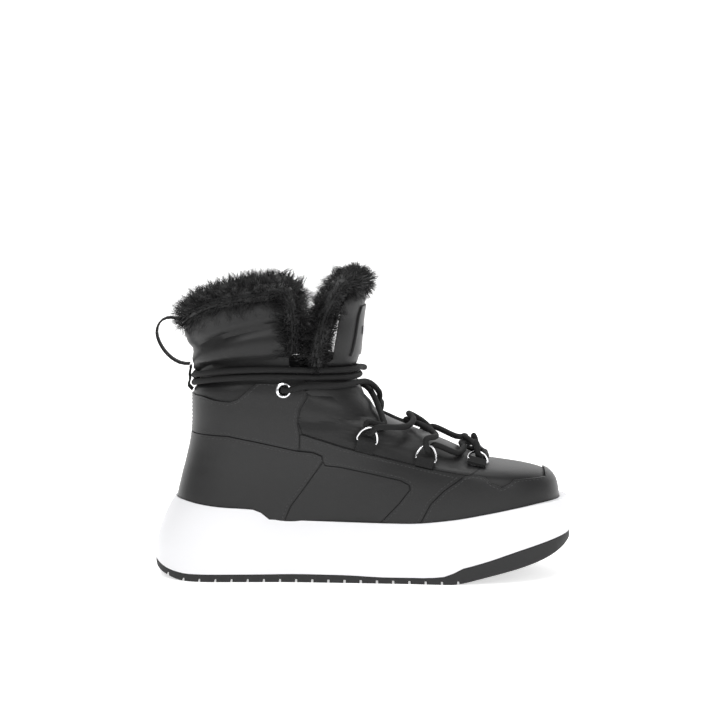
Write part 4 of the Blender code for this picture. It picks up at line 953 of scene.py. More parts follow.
def last_frame(level, angle):
    """A point of the last with the level direction along it, the way up it and the way out."""
    step = 0.02
    point = last_point(level, angle)
    round_it = last_point(level, angle + step) - last_point(level, angle - step)
    up_it = last_point(level + step, angle) - last_point(level - step, angle)
    out = np.cross(up_it, round_it)
    middle = last_point(level, 0.0) + last_point(level, math.pi)
    if np.dot(out, point - middle / 2) < 0:
        out = -out
    out /= np.linalg.norm(out)
    up = np.array((0.0, 0.0, 1.0)) - out * out[2]
    up /= np.linalg.norm(up)
    along = np.cross(up, out)
    if along[0] < 0:
        along = -along
    return point, along, up, out


def nearest_place(target, place):
    """The place on the last nearest to a point, found from a place close by."""
    place = np.array(place, float)
    step = 0.02
    for _ in range(8):
        level, angle = place
        by_level = (last_point(level + step, angle) - last_point(level - step, angle)) / (2 * step)
        by_angle = (last_point(level, angle + step) - last_point(level, angle - step)) / (2 * step)
        slopes = np.stack([by_level, by_angle], axis=1)
        move = np.linalg.lstsq(slopes, target - last_point(level, angle), rcond=None)[0]
        place = place + np.clip(move, -0.5, 0.5)
    return tuple(place)


def flowing(points, spacing, closed=False):
    """A curve through points, read off at an even spacing."""
    points = np.array(points, float)
    if closed:
        points = np.concatenate([points[-1:], points, points[:2]])
    else:
        points = np.concatenate([2 * points[:1] - points[1:2], points, 2 * points[-1:] - points[-2:-1]])
    fine = []
    for index in range(1, len(points) - 2):
        before, start, end, after = points[index - 1 : index + 3]
        knots = [0.0]
        for one, other in ((before, start), (start, end), (end, after)):
            knots.append(knots[-1] + max(np.linalg.norm(other - one), 1e-6) ** 0.5)
        for share in np.arange(24) / 24:
            at = knots[1] + (knots[2] - knots[1]) * share
            low = [
                one * (knots[i + 1] - at) / (knots[i + 1] - knots[i])
                + other * (at - knots[i]) / (knots[i + 1] - knots[i])
                for i, (one, other) in enumerate(((before, start), (start, end), (end, after)))
            ]
            mid = [
                low[i] * (knots[i + 2] - at) / (knots[i + 2] - knots[i])
                + low[i + 1] * (at - knots[i]) / (knots[i + 2] - knots[i])
                for i in range(2)
            ]
            fine.append(mid[0] * (1 - share) + mid[1] * share)
    if not closed:
        fine.append(points[-2])
    fine = np.array(fine)
    ring = np.concatenate([fine, fine[:1]]) if closed else fine
    gone = np.concatenate([[0.0], np.cumsum(np.linalg.norm(np.diff(ring, axis=0), axis=1))])
    count = max(int(round(gone[-1] / spacing)), 2)
    stops = np.linspace(0.0, gone[-1], count + 1)
    if closed:
        stops = stops[:-1]
    return np.stack([np.interp(stops, gone, ring[:, axis]) for axis in range(3)], axis=1)


def swept(path, profile, start_up, closed=False):
    """Rings of a profile carried along a path without twisting more than the path does."""
    ahead = np.roll(path, -1, axis=0) - np.roll(path, 1, axis=0)
    if not closed:
        ahead[0], ahead[-1] = path[1] - path[0], path[-1] - path[-2]
    ahead /= np.linalg.norm(ahead, axis=1, keepdims=True)
    rings = []
    up = np.array(start_up, float)
    for point, forward in zip(path, ahead):
        up = up - forward * np.dot(up, forward)
        up /= np.linalg.norm(up)
        across = np.cross(forward, up)
        rings.append([point + across * wide + up * high for wide, high in profile])
    return np.array(rings)


def ribbon(path, across_it, width, thickness, closed=False):
    """Rings of a band along a path, its width always in one direction."""
    ahead = np.roll(path, -1, axis=0) - np.roll(path, 1, axis=0)
    if not closed:
        ahead[0], ahead[-1] = path[1] - path[0], path[-1] - path[-2]
    rings = []
    for point, forward in zip(path, ahead):
        up = np.cross(forward, across_it)
        up /= np.linalg.norm(up)
        rings.append([point + across_it * wide + up * high for wide, high in flat(width, thickness)])
    return np.array(rings)


def circle(radius, sides):
    turns = 2 * np.pi * np.arange(sides) / sides
    return np.stack([np.cos(turns), np.sin(turns)], axis=1) * radius


def flat(width, thickness):
    wide, high = width / 2, thickness / 2
    return np.array([(-wide, -high), (wide, -high), (wide, high), (-wide, high)])


# Hardware

EYELET_PLACE = (0.3125, 0.675)
STRAP_LIFT = 2.7 * GAP
BAR_LIFT = STRAP_LIFT + 2 * GAP + WEBBING_THICKNESS + RING_WIRE / 2
LACE_LIFT = 3 * GAP + LACE_DIAMETER / 2
LACE_OVER = LACE_LIFT + LACE_DIAMETER + 2 * GAP
ARC_LIFT = LACE_DIAMETER + 4 * GAP + RING_WIRE / 2
RING_TURN = LACE_DIAMETER / 2 + RING_WIRE / 2 + 2 * GAP
WRAP_LEVEL = 16.0
RING_LEAN = 15.0

# Where strands cross the front ridge, as shares of the collar's height: the bar
# between the front rings, the two crossings, the strand to the near eyelet, and
# the strand to the ankle wrap.
LACE_RIDGE = (0.412, 0.450, 0.532, 0.662, 0.626)

# Strands to the near and the far eyelet: shares of the sole's length and the collar's height.
LACE_TO_EYELET = ((0.350, 0.682), (0.385, 0.682), (0.440, 0.674))
LACE_TO_FAR_EYELET = ((0.474, 0.737), (0.430, 0.722), (0.370, 0.700))


def eyelet_frame(side):
    x, z = EYELET_PLACE[0] * SOLE_LENGTH, EYELET_PLACE[1] * COLLAR_HEIGHT
    return last_frame(*at_place(x, z, side))


def make_eyelet(side, label):
    point, along, up, out = eyelet_frame(side)
    seat = OVERLAY + 2 * GAP
    barrel = EYELET_HOLE + EYELET_LIP * 2 / 3
    outline = (
        (EYELET_HOLE, -WALL),
        (barrel, -WALL),
        (barrel, seat),
        (EYELET_RADIUS, seat),
        (EYELET_RADIUS - EYELET_LIP / 3, seat + EYELET_LIP * 2 / 3),
        ((EYELET_RADIUS + EYELET_HOLE) / 2, seat + EYELET_LIP),
        (EYELET_HOLE, seat + EYELET_LIP / 2),
    )
    turns = circle(1.0, 40)
    rings = [
        [point + (along * wide + up * high) * radius + out * lift for radius, lift in outline]
        for wide, high in turns
    ]
    tube(f"eyelet_{label}", np.array(rings), SILVER, closed=True)
    for name in ("upper", "quarter"):
        ends = [
            [point + (along * wide + up * high) * (barrel + GAP) + out * lift for wide, high in turns]
            for lift in (-4 * WALL, 4 * WALL)
        ]
        carve(bpy.data.objects[name + SHOWN], tube("hole", np.array(ends), None))


def ring_seat(number, side):
    """The last's point under a ring's bar, the ways along the bar, up the ring and out, and its place."""
    x, z, _ = RINGS[number]
    place = at_place(x * SOLE_LENGTH, z * COLLAR_HEIGHT, side)
    point, along, up, out = last_frame(*place)
    lean = math.radians(RING_LEAN)
    along = np.array((math.cos(lean), 0.0, -math.sin(lean)))
    along -= out * np.dot(along, out)
    along /= np.linalg.norm(along)
    up = np.cross(along, out) * -side
    return point, along, up if up[2] > 0 else -up, out, place


def ring_frame(number, side):
    """Middle of a ring's bar, the directions along it and up the ring, out of it, and the arc's far end."""
    point, along, up, out, _ = ring_seat(number, side)
    bar = point + out * BAR_LIFT
    height = RING_HEIGHT - RING_WIRE
    tilt = math.asin((ARC_LIFT - BAR_LIFT) / height)
    rise = up * math.cos(tilt) + out * math.sin(tilt)
    face = out * math.cos(tilt) - up * math.sin(tilt)
    return bar, along, rise, face, bar + rise * height


def make_ring(number, side, label):
    bar, along, _, face, arc = ring_frame(number, side)
    half = (RING_WIDTH - RING_WIRE) / 2
    turns = np.radians(np.arange(6, 175, 6))
    path = [bar - along * half, bar, bar + along * half]
    path += [bar + along * half * math.cos(turn) + (arc - bar) * math.sin(turn) for turn in turns]
    rings = swept(np.array(path), circle(RING_WIRE / 2, 14), face, closed=True)
    tube(f"d_ring_{number + 1}_{label}", rings, SILVER, closed=True)


def make_strap(number, side, label):
    reach = RINGS[number][2] * COLLAR_HEIGHT
    point, along, up, out, place = ring_seat(number, side)
    bar = point + out * BAR_LIFT
    around = RING_WIRE / 2 + 2 * GAP + WEBBING_THICKNESS / 2
    low = STRAP_LIFT + WEBBING_THICKNESS / 2
    high = low + WEBBING_THICKNESS + GAP
    lower, upper = [point + out * low], []
    for share in (0.3, 0.65, 1.0):
        place = nearest_place(point - up * reach * share, place)
        foot, _, _, foot_out = last_frame(*place)
        near = 1 - float(ease(share * reach / (2.2 * around)))
        lower.insert(0, foot + foot_out * low)
        upper.append(foot + foot_out * (high + (BAR_LIFT + around - high) * near))
    turns = np.radians((-45, 0, 45, 90))
    bend = [bar + (up * math.cos(turn) + out * math.sin(turn)) * around for turn in turns]
    path = np.array(lower + bend + upper)
    rings = ribbon(path, along, WEBBING_WIDTH, WEBBING_THICKNESS, closed=True)
    tube(f"ring_strap_{number + 1}_{label}", rings, BLACK_CORD, closed=True)


# Laces


def lifted(place, lift):
    point, _, _, out = last_frame(*place)
    return point + out * lift


def ring_turn(number, side, spread):
    """Over the arc of a ring, down through it and back under its arc."""
    _, along, rise, face, arc = ring_frame(number, side)
    return [
        arc + face * RING_TURN * 1.50 + along * spread + rise * RING_TURN * 0.8,
        arc + face * RING_TURN * 0.95 - rise * RING_TURN * 0.5 + along * spread / 2,
        arc - rise * RING_TURN,
        arc - face * RING_TURN * 0.75 - rise * RING_TURN * 0.7 - along * spread / 2,
        arc - face * RING_TURN * 1.15 - along * spread + rise * RING_TURN / 2,
    ]


def ring_place(number, side):
    x, z, _ = RINGS[number]
    return at_place(x * SOLE_LENGTH, z * COLLAR_HEIGHT, side)


def across(start, end, share):
    """A place on the straight line between two places in section and angle."""
    return tuple(one + (other - one) * share for one, other in zip(start, end))


def strand(start, ridge, end, lifts):
    """Points between two rings on opposite sides, at three lifts: leaving, on the ridge, arriving."""
    leaving, top, arriving = lifts
    return [
        lifted(across(start, ridge, 0.45), leaving),
        lifted(across(start, ridge, 0.75), (top + leaving) / 2),
        lifted(ridge, top),
        lifted(across(ridge, end, 0.25), (top + arriving) / 2),
        lifted(across(ridge, end, 0.55), arriving),
    ]


def wrap_point(turn, height):
    """A point of the ankle wrap: turn runs on from the front ridge, height from the groove's middle."""
    angle = (turn + math.pi) % (2 * math.pi) - math.pi
    point, _, up, out = last_frame(WRAP_LEVEL, angle)
    return point + out * (LACE_LIFT + GAP) + up * height


def lace_route():
    near = [ring_place(number, LATERAL) for number in range(3)]
    far = [ring_place(number, MEDIAL) for number in range(3)]
    ridge = [at_ridge(share * COLLAR_HEIGHT) for share in LACE_RIDGE]
    spread = LACE_DIAMETER * 0.8
    low, high = LACE_LIFT + GAP, LACE_OVER + GAP
    seat = OVERLAY + 2 * GAP + EYELET_LIP
    over_quarter = LACE_LIFT + OVERLAY + 2 * GAP
    point, along, up, out = eyelet_frame(LATERAL)
    route = [point - out * WALL / 2, point + out * seat]
    route.append(point + out * (seat + LACE_DIAMETER * 0.6) + along * EYELET_HOLE)
    for x, z in LACE_TO_EYELET:
        route.append(lifted(at_place(x * SOLE_LENGTH, z * COLLAR_HEIGHT, LATERAL), over_quarter))
    route.append(lifted(ridge[3], (LACE_LIFT + LACE_OVER) / 2))
    route += [lifted(across(ridge[3], far[2], share), high) for share in (0.15, 0.35)]
    route += [lifted(across(ridge[3], far[2], share), high + LACE_DIAMETER * 0.6) for share in (0.6, 0.8)]
    route += ring_turn(2, MEDIAL, -spread)
    route += strand(far[2], ridge[2], near[1], (low, low, high))
    route += ring_turn(1, LATERAL, -spread)
    route += strand(near[1], ridge[1], far[0], (low, low, high))
    route += ring_turn(0, MEDIAL, -spread)
    route += strand(far[0], ridge[0], near[0], (low, low, low))
    route += ring_turn(0, LATERAL, -spread)[::-1]
    route += strand(near[0], ridge[1], far[1], (high, high, high))
    route += ring_turn(1, MEDIAL, spread)
    route += strand(far[1], ridge[2], near[2], (low, high, high))
    route += ring_turn(2, LATERAL, spread)
    route += [lifted(across(near[2], ridge[4], share), LACE_LIFT + GAP) for share in (0.4, 0.6, 0.8)]
    route.append(lifted(ridge[4], LACE_LIFT))
    beyond = at_place(0.430 * SOLE_LENGTH, 0.676 * COLLAR_HEIGHT, MEDIAL)
    route += [lifted(across(ridge[4], beyond, share), LACE_LIFT + GAP) for share in (0.35, 0.7)]
    route.append(lifted(beyond, LACE_LIFT + 2 * GAP))
    half = LACE_SPACING / 2
    join, climb, step = 1.30, 0.9, 0.26
    for turn in np.arange(join, 2 * math.pi, step):
        route.append(wrap_point(turn, -half))
    for turn in np.arange(2 * math.pi, 4 * math.pi + step / 2, step):
        share = float(ease((turn - 2 * math.pi - 0.25) / climb))
        route.append(wrap_point(turn, -half + LACE_SPACING * share))
    for x, z in LACE_TO_FAR_EYELET:
        route.append(lifted(at_place(x * SOLE_LENGTH, z * COLLAR_HEIGHT, MEDIAL), LACE_OVER + OVERLAY))
    point, along, up, out = eyelet_frame(MEDIAL)
    route.append(point + out * (seat + LACE_DIAMETER) + (along + up) * EYELET_HOLE / 2)
    route += [point + out * seat, point - out * WALL / 2]
    return route


def make_lace():
    path = flowing(lace_route(), LACE_DIAMETER / 4)
    rings = swept(path, circle(LACE_DIAMETER / 2, LACE_SIDES), (0.0, 0.0, 1.0))
    tube("lace", rings, BLACK_CORD)


# Fur, keeper, pull loop and patch


def make_collar_fur():
    edge_x = FUR_EDGE * SOLE_LENGTH
    rising = (0.800, 0.870, 0.935)
    lateral = [at_place(edge_x, share * COLLAR_HEIGHT, LATERAL) for share in rising]
    path = [lifted(place, -WALL) + (FUR_RADIUS * 0.55, 0.0, 0.0) for place in lateral]
    start = at_place((FUR_EDGE - 0.008) * SOLE_LENGTH, 0.985 * COLLAR_HEIGHT, LATERAL)[1]
    round_back = [lifted((COLLAR_LEVEL, angle), -2 * WALL) for angle in np.linspace(start, -math.pi, 8)]
    round_back = [point + (0.0, 0.0, FUR_RADIUS * 0.5) for point in round_back]
    half = path + round_back
    mirrored = [lifted((COLLAR_LEVEL, -angle), -2 * WALL) for angle in np.linspace(start, -math.pi, 8)[:-1]]
    mirrored = [point + (0.0, 0.0, FUR_RADIUS * 0.5) for point in mirrored][::-1]
    medial = [at_place(edge_x, share * COLLAR_HEIGHT, MEDIAL) for share in rising[::-1]]
    route = half + mirrored
    route += [lifted(place, -WALL) + (FUR_RADIUS * 0.55, 0.0, 0.0) for place in medial]
    path = flowing(route, 1.6 * FUR_RADIUS)
    share = np.linspace(-1.0, 1.0, len(path))
    radii = FUR_RADIUS * (0.95 - 0.25 * ease((np.abs(share) - 0.7) / 0.3))
    fur = fur_roll("collar_fur", path, radii, 5, FUR_LOCK)
    carve(fur, upper_clearance(GAP))
    return largest_body(fur)


def make_tongue_fur():
    sides = []
    for side in (LATERAL, MEDIAL):
        places = [at_place(x * SOLE_LENGTH, z * COLLAR_HEIGHT, side) for x, z in TONGUE_FUR]
        sides.append([lifted(place, -TONGUE_PAD) for place in places])
    rise = (0.0, 0.0, TONGUE_TOP - COLLAR_HEIGHT + FUR_RADIUS * 0.35)
    middle = -WALL - TONGUE_PAD / 2
    arc = [lifted((COLLAR_LEVEL, angle), middle) + rise for angle in np.linspace(-0.62, 0.62, 7)]
    path = flowing(sides[0] + arc + sides[1][::-1], 1.4 * FUR_RADIUS)
    radii = np.full(len(path), TONGUE_FUR_DEPTH * 1.15)
    fur = fur_roll("tongue_fur", path, radii, 9, FUR_LOCK * 0.8)
    room = padded_tongue("room", GAP)
    carve(fur, room)
    return largest_body(fur)


def wrap_seat(level, lift):
    """A point behind the last at a section, a length behind its back."""
    return last_point(level, math.pi) - (lift, 0.0, 0.0)


def make_keeper():
    seat = GAP + KEEPER_THICKNESS / 2
    free = LACE_LIFT + LACE_DIAMETER / 2 + 2 * GAP + KEEPER_THICKNESS / 2
    route = [
        wrap_seat(14.0, seat),
        wrap_seat(15.0, free - GAP),
        wrap_seat(16.0, free),
        wrap_seat(17.0, free),
        wrap_seat(18.0, seat + GAP),
        wrap_seat(18.5, seat),
    ]
    path = flowing(route, KEEPER_WIDTH / 6)
    rings = ribbon(path, ACROSS, KEEPER_WIDTH, KEEPER_THICKNESS)
    tube("lace_keeper", rings, BLACK_CORD)


def pull_loop_route():
    foot = wrap_seat(18.75, 2 * GAP + PULL_LOOP_THICKNESS / 2)
    top = lifted((COLLAR_LEVEL, math.pi), -WALL / 2) + (0.0, 0.0, 4 * GAP + PULL_LOOP_THICKNESS / 2)
    reach = top[2] - foot[2]
    route = [foot]
    for back, high in PULL_LOOP:
        route.append((foot[0] - back * reach, 0.0, foot[2] + high * reach))
    route.append(tuple(top))
    return route


def make_pull_loop():
    path = flowing(pull_loop_route(), PULL_LOOP_WIDTH / 3)
    rings = ribbon(path, ACROSS, PULL_LOOP_WIDTH, PULL_LOOP_THICKNESS)
    tube("pull_loop", rings, BLACK_CORD)
    room = ribbon(path, ACROSS, PULL_LOOP_WIDTH + 2 * GAP, PULL_LOOP_THICKNESS + 2 * GAP)
    cut = tube("loop_room", room, None)
    carve(bpy.data.objects["collar_fur" + SHOWN], cut)
    largest_body(bpy.data.objects["collar_fur" + SHOWN])


def make_patch():
    patch = shell("tongue_patch", GAP + PATCH_THICKNESS, GAP, between(16.0, COLLAR_LEVEL), BLACK_LEATHER)
    y_z = np.array(PATCH_OUTLINE) * (COLLAR_WIDTH, COLLAR_HEIGHT)
    front = prism("front", y_z, 0.42 * SOLE_LENGTH, 0.62 * SOLE_LENGTH)
    front.data.transform(Matrix(((0, 1, 0, 0), (1, 0, 0, 0), (0, 0, 1, 0), (0, 0, 0, 1))))
    front.data.flip_normals()
    carve(patch, front, "INTERSECT")
    largest_body(patch)
    point, _, up, out = last_frame(*at_ridge(BADGE_PLACE * COLLAR_HEIGHT))
    lift = 2 * GAP + PATCH_THICKNESS
    across_it = np.cross(up, out)
    low = [point + out * lift, point + out * (lift + BADGE_THICKNESS)]
    corners = ((-1, -1), (1, -1), (1, 1), (-1, 1))
    rings = [
        [seat + across_it * wide * BADGE_LENGTH / 2 + up * high * BADGE_HEIGHT / 2 for wide, high in corners]
        for seat in low
    ]
    tube("tongue_badge", np.array(rings), SILVER)

# Looks

# Grey, roughness, metallic, grain scale, grain strength, coat.
LOOKS = {
    BLACK_LEATHER: (0.0120, 0.40, 0.0, 900.0, 0.14, 0.08),
    BLACK_PADDING: (0.0095, 0.46, 0.0, 700.0, 0.18, 0.04),
    BLACK_FUR: (0.013, 0.42, 0.0, 1500.0, 0.10, 0.0),
    BLACK_CORD: (0.008, 0.80, 0.0, 1400.0, 0.40, 0.0),
    BLACK_RUBBER: (0.024, 0.70, 0.0, 1200.0, 0.15, 0.0),
    WHITE_SOLE: (0.80, 0.42, 0.0, 1500.0, 0.03, 0.0),
    SILVER: (0.80, 0.16, 1.0, 300.0, 0.0, 0.0),
    DARK_STITCH: (0.045, 0.70, 0.0, 1500.0, 0.10, 0.0),
}
BLUE_SHARE = 1.02
COAT_ROUGHNESS = 0.25
SPECULAR_LEVEL = 0.32
GRAIN_DEPTH = 0.0006
GRAIN_DETAIL = 4.0


def grain_group():
    """The shared node group of every look: a fine noise in object space, as a bump."""
    found = bpy.data.node_groups.get("grain")
    if found is not None:
        return found
    group = bpy.data.node_groups.new("grain", "ShaderNodeTree")
    for name in ("Scale", "Strength"):
        group.interface.new_socket(name, in_out="INPUT", socket_type="NodeSocketFloat")
    group.interface.new_socket("Normal", in_out="OUTPUT", socket_type="NodeSocketVector")
    nodes, links = group.nodes, group.links
    given = nodes.new("NodeGroupInput")
    result = nodes.new("NodeGroupOutput")
    place = nodes.new("ShaderNodeTexCoord")
    noise = nodes.new("ShaderNodeTexNoise")
    bump = nodes.new("ShaderNodeBump")
    noise.inputs["Detail"].default_value = GRAIN_DETAIL
    bump.inputs["Distance"].default_value = GRAIN_DEPTH
    links.new(place.outputs["Object"], noise.inputs["Vector"])
    links.new(given.outputs["Scale"], noise.inputs["Scale"])
    links.new(given.outputs["Strength"], bump.inputs["Strength"])
    links.new(noise.outputs["Fac"], bump.inputs["Height"])
    links.new(bump.outputs["Normal"], result.inputs["Normal"])
    return group


def material(look):
    """A Principled material by the name of its look, with its grain from the shared group."""
    found = bpy.data.materials.get(look + SHOWN)
    if found is not None:
        return found
    grey, rough, metallic, scale, strength, coat = LOOKS[look]
    made = bpy.data.materials.new(look + SHOWN)
    made.use_nodes = True
    tree = made.node_tree
    shader = tree.nodes["Principled BSDF"]
    shader.inputs["Base Color"].default_value = (grey, grey, grey * BLUE_SHARE, 1.0)
    shader.inputs["Roughness"].default_value = rough
    shader.inputs["Metallic"].default_value = metallic
    shader.inputs["Coat Weight"].default_value = coat
    shader.inputs["Coat Roughness"].default_value = COAT_ROUGHNESS
    shader.inputs["Specular IOR Level"].default_value = SPECULAR_LEVEL
    if strength > 0:
        grain = tree.nodes.new("ShaderNodeGroup")
        grain.node_tree = grain_group()
        grain.inputs["Scale"].default_value = scale
        grain.inputs["Strength"].default_value = strength
        tree.links.new(grain.outputs["Normal"], shader.inputs["Normal"])
    return made


# Stitches


def surface_at(x, z, side, lift):
    """Points off the last and their normals, over places seen from the side.

    The section of each place is found by halving its range until the surface lies at
    the place's height; the normal is the cross product of two short steps.
    """
    low = np.full(len(x), 0.5)
    high = np.full(len(x), float(COLLAR_LEVEL))
    numbered = [(number, *row) for number, row in enumerate(BOOT_SECTIONS)]
    for _ in range(30):
        level = (low + high) / 2
        row = smooth(numbered, level)
        share = ((x - UPPER_BACK) / UPPER_LENGTH - row[:, 2]) / (row[:, 0] - row[:, 2])
        share = np.clip(share, 0.002, 0.998)
        under = boot_point(level, share, side)[:, 2] < z
        low, high = np.where(under, level, low), np.where(under, high, level)
    point = boot_point(level, share, side)
    up = boot_point(level + 0.05, share, side) - boot_point(level - 0.05, share, side)
    along = boot_point(level, share + 0.002, side) - boot_point(level, share - 0.002, side)
    normal = np.cross(along, up) * -side
    normal /= np.linalg.norm(normal, axis=1, keepdims=True)
    return point + normal * lift, normal


def stitch_line(name, x_z, side, lift):
    """A row of stitches along a line seen from the side.

    Each stitch is a bead of six corners, its middle plus and minus a half length along the
    seam, a half width across it and a half height off it.
    """
    run = np.concatenate([[0.0], np.cumsum(np.linalg.norm(np.diff(x_z, axis=0), axis=1))])
    count = max(int(run[-1] / STITCH_PITCH), 2)
    at = (np.arange(count) + 0.5) * run[-1] / count
    x = np.interp(at, run, x_z[:, 0])
    z = np.interp(at, run, x_z[:, 1])
    middle, normal = surface_at(x, z, side, lift)
    ahead = np.gradient(middle, axis=0)
    stride = np.linalg.norm(ahead, axis=1)
    sound = np.isfinite(ahead).all(axis=1) & np.isfinite(normal).all(axis=1)
    sound &= (stride > STITCH_PITCH / 2) & (stride < STITCH_PITCH * 2)
    middle, normal, ahead = middle[sound], normal[sound], ahead[sound]
    ahead /= np.linalg.norm(ahead, axis=1, keepdims=True)
    long = ahead * STITCH_LENGTH / 2
    wide = np.cross(normal, ahead) * STITCH_WIDTH / 2
    tall = normal * STITCH_HEIGHT / 2
    steps = (-long, long, -wide, wide, -tall, tall)
    corners = np.stack([middle + step for step in steps], axis=1).reshape(-1, 3)
    faces = (BEAD_FACES[None] + 6 * np.arange(len(middle))[:, None, None]).reshape(-1, 3)
    loose_mesh(name, corners, faces, DARK_STITCH)


def loose_mesh(name, points, faces, look):
    """One piece of many small bodies."""
    mesh = bpy.data.meshes.new(name)
    mesh.from_pydata(points, [], faces.tolist())
    mesh.materials.append(material(look))
    piece = bpy.data.objects.new(name + SHOWN, mesh)
    bpy.context.scene.collection.objects.link(piece)


def make_stitches():
    rows = (("counter", COUNTER), ("quarter", QUARTER), ("eyestay", EYESTAY), ("guard", TOE_GUARD))
    for side, label in ((LATERAL, "lateral"), (MEDIAL, "medial")):
        for name, outline in rows:
            line = grown(outline, -STITCH_INSET) * (SOLE_LENGTH, COLLAR_HEIGHT)
            line = np.concatenate([line, line[:1]])
            above_rim = line[line[:, 1] > STITCH_LOWEST]
            stitch_line(f"stitches_{name}_{label}", above_rim, side, GAP + OVERLAY)


# Hair


def hair(name, roots, directions, lengths, seed):
    """Strands as thin tapering ribbons that lean together in clumps.

    At a share t of its length a strand is at root + direction * length * t, plus t squared
    times its pull towards the nearest clump's tip, a random bend and a droop.
    """
    chance = np.random.default_rng(seed)
    count = len(roots)
    tips = roots + directions * lengths[:, None]
    chosen = chance.choice(count, max(count // STRANDS_PER_CLUMP, 8), replace=False)
    nearest = np.concatenate([
        np.argmin(np.linalg.norm(tips[i : i + 2000, None] - tips[None, chosen], axis=2), axis=1)
        for i in range(0, count, 2000)
    ])
    pull = (tips[chosen][nearest] - tips) * CLUMP_PULL
    bend = chance.normal(0.0, STRAND_BEND, (count, 3))
    bend[:, 2] -= STRAND_DROOP
    steps = np.linspace(0.0, 1.0, STRAND_POINTS)
    line = roots[:, None] + (directions * lengths[:, None])[:, None] * steps[:, None]
    line = line + (pull + bend)[:, None] * (steps**2)[:, None]
    across_it = np.cross(directions, chance.normal(0.0, 1.0, (count, 3)))
    across_it /= np.linalg.norm(across_it, axis=1, keepdims=True)
    width = (1 - STRAND_TAPER * steps) * HAIR_WIDTH / 2
    left = line - across_it[:, None] * width[:, None]
    right = line + across_it[:, None] * width[:, None]
    points = np.stack([left, right], axis=2).reshape(-1, 3)
    strip = np.array([(2 * i, 2 * i + 1, 2 * i + 3, 2 * i + 2) for i in range(STRAND_POINTS - 1)])
    faces = (strip[None] + 2 * STRAND_POINTS * np.arange(count)[:, None, None]).reshape(-1, 4)
    loose_mesh(name, points, faces, BLACK_FUR)


def fur_roll(name, path, radii, seed, lock):
    """A smooth roll along a path, with hair that leaves it outwards, a little upwards and in clumps."""
    fine = flowing(path, FUR_RADIUS / 2.5)
    share = np.linspace(0, len(radii) - 1, len(fine))
    thick = np.interp(share, np.arange(len(radii)), radii) * ROLL_SHARE
    offset = swept(fine, circle(1.0, ROLL_SIDES), (0.0, 0.0, 1.0)) - fine[:, None]
    roll = tube(name, fine[:, None] + offset * thick[:, None, None], BLACK_FUR)
    chance = np.random.default_rng(seed)
    count = int(HAIR_COUNT * min(1.0, len(fine) / FULL_ROLL_RINGS))
    ring = chance.integers(0, len(fine), count)
    turn = chance.integers(0, ROLL_SIDES, count)
    out = offset[ring, turn]
    tangent = np.gradient(fine, axis=0)[ring]
    tangent /= np.linalg.norm(tangent, axis=1, keepdims=True)
    along = tangent * chance.uniform(-1, 1, (count, 1)) * FUR_RADIUS / 4
    roots = fine[ring] + out * thick[ring, None] * 0.9 + along
    way = out + tangent * chance.normal(0.0, 0.35, (count, 1)) + chance.normal(0.0, 0.22, (count, 3))
    way[:, 2] += 0.25
    way /= np.linalg.norm(way, axis=1, keepdims=True)
    reach = HAIR_LENGTH * (lock / FUR_LOCK) * chance.uniform(0.45, 0.80, count)
    hair(name + "_hair", roots, way, reach, seed + 1)
    return roll


# Stage

CAMERA_TARGET = (-0.002, -0.0015, 0.1445)
SENSOR_WIDTH = 36.0
LAMP_TARGET = (0.0, 0.0, 0.10)
# Name, place, size in metres and power in watts of each soft lamp.
LAMPS = (
    ("key", (-0.5, -1.0, 1.3), 0.7, 8.0),
    ("front", (0.9, -1.1, 0.8), 0.6, 5.0),
    ("top", (0.1, 0.1, 1.4), 0.8, 8.0),
)
SKY_STRENGTH = 0.42
FLOOR_GREY = 0.9
FLOOR_GLOW = 0.62
FLOOR_HALF_WIDTH = 4.0
FLOOR_FRONT = -3.0
BACKDROP_START = 1.2
BACKDROP_RADIUS = 1.0
BACKDROP_TOP = 4.0


def make_floor():
    """A sheet drawn across a profile: flat, then a quarter circle, then upright."""
    turn = np.linspace(0.0, np.pi / 2, 24)
    profile = np.concatenate([
        [(FLOOR_FRONT, 0.0)],
        np.stack([np.sin(turn), 1.0 - np.cos(turn)], axis=1) * BACKDROP_RADIUS + (BACKDROP_START, 0.0),
        [(BACKDROP_START + BACKDROP_RADIUS, BACKDROP_TOP)],
    ])
    points = [(x, y, z) for x in (-FLOOR_HALF_WIDTH, FLOOR_HALF_WIDTH) for y, z in profile]
    count = len(profile)
    faces = [(i, i + 1, count + i + 1, count + i) for i in range(count - 1)]
    mesh = bpy.data.meshes.new("floor")
    mesh.from_pydata(points, [], faces)
    mesh.shade_smooth()
    pale = bpy.data.materials.new("floor")
    pale.use_nodes = True
    shader = pale.node_tree.nodes["Principled BSDF"]
    shader.inputs["Base Color"].default_value = (FLOOR_GREY, FLOOR_GREY, FLOOR_GREY, 1.0)
    shader.inputs["Roughness"].default_value = 0.9
    shader.inputs["Emission Color"].default_value = (1.0, 1.0, 1.0, 1.0)
    shader.inputs["Emission Strength"].default_value = FLOOR_GLOW
    mesh.materials.append(pale)
    floor = bpy.data.objects.new("floor", mesh)
    bpy.context.scene.collection.objects.link(floor)


def make_world():
    world = bpy.data.worlds.new("studio")
    world.use_nodes = True
    sky = world.node_tree.nodes["Background"]
    sky.inputs["Color"].default_value = (1.0, 1.0, 1.0, 1.0)
    sky.inputs["Strength"].default_value = SKY_STRENGTH
    bpy.context.scene.world = world


def make_lamp(name, place, size, power):
    lamp = bpy.data.lights.new(name, "AREA")
    lamp.energy = power
    lamp.size = size
    holder = bpy.data.objects.new(name, lamp)
    holder.location = place
    aim = Vector(LAMP_TARGET) - Vector(place)
    holder.rotation_euler = aim.to_track_quat("-Z", "Y").to_euler()
    bpy.context.scene.collection.objects.link(holder)


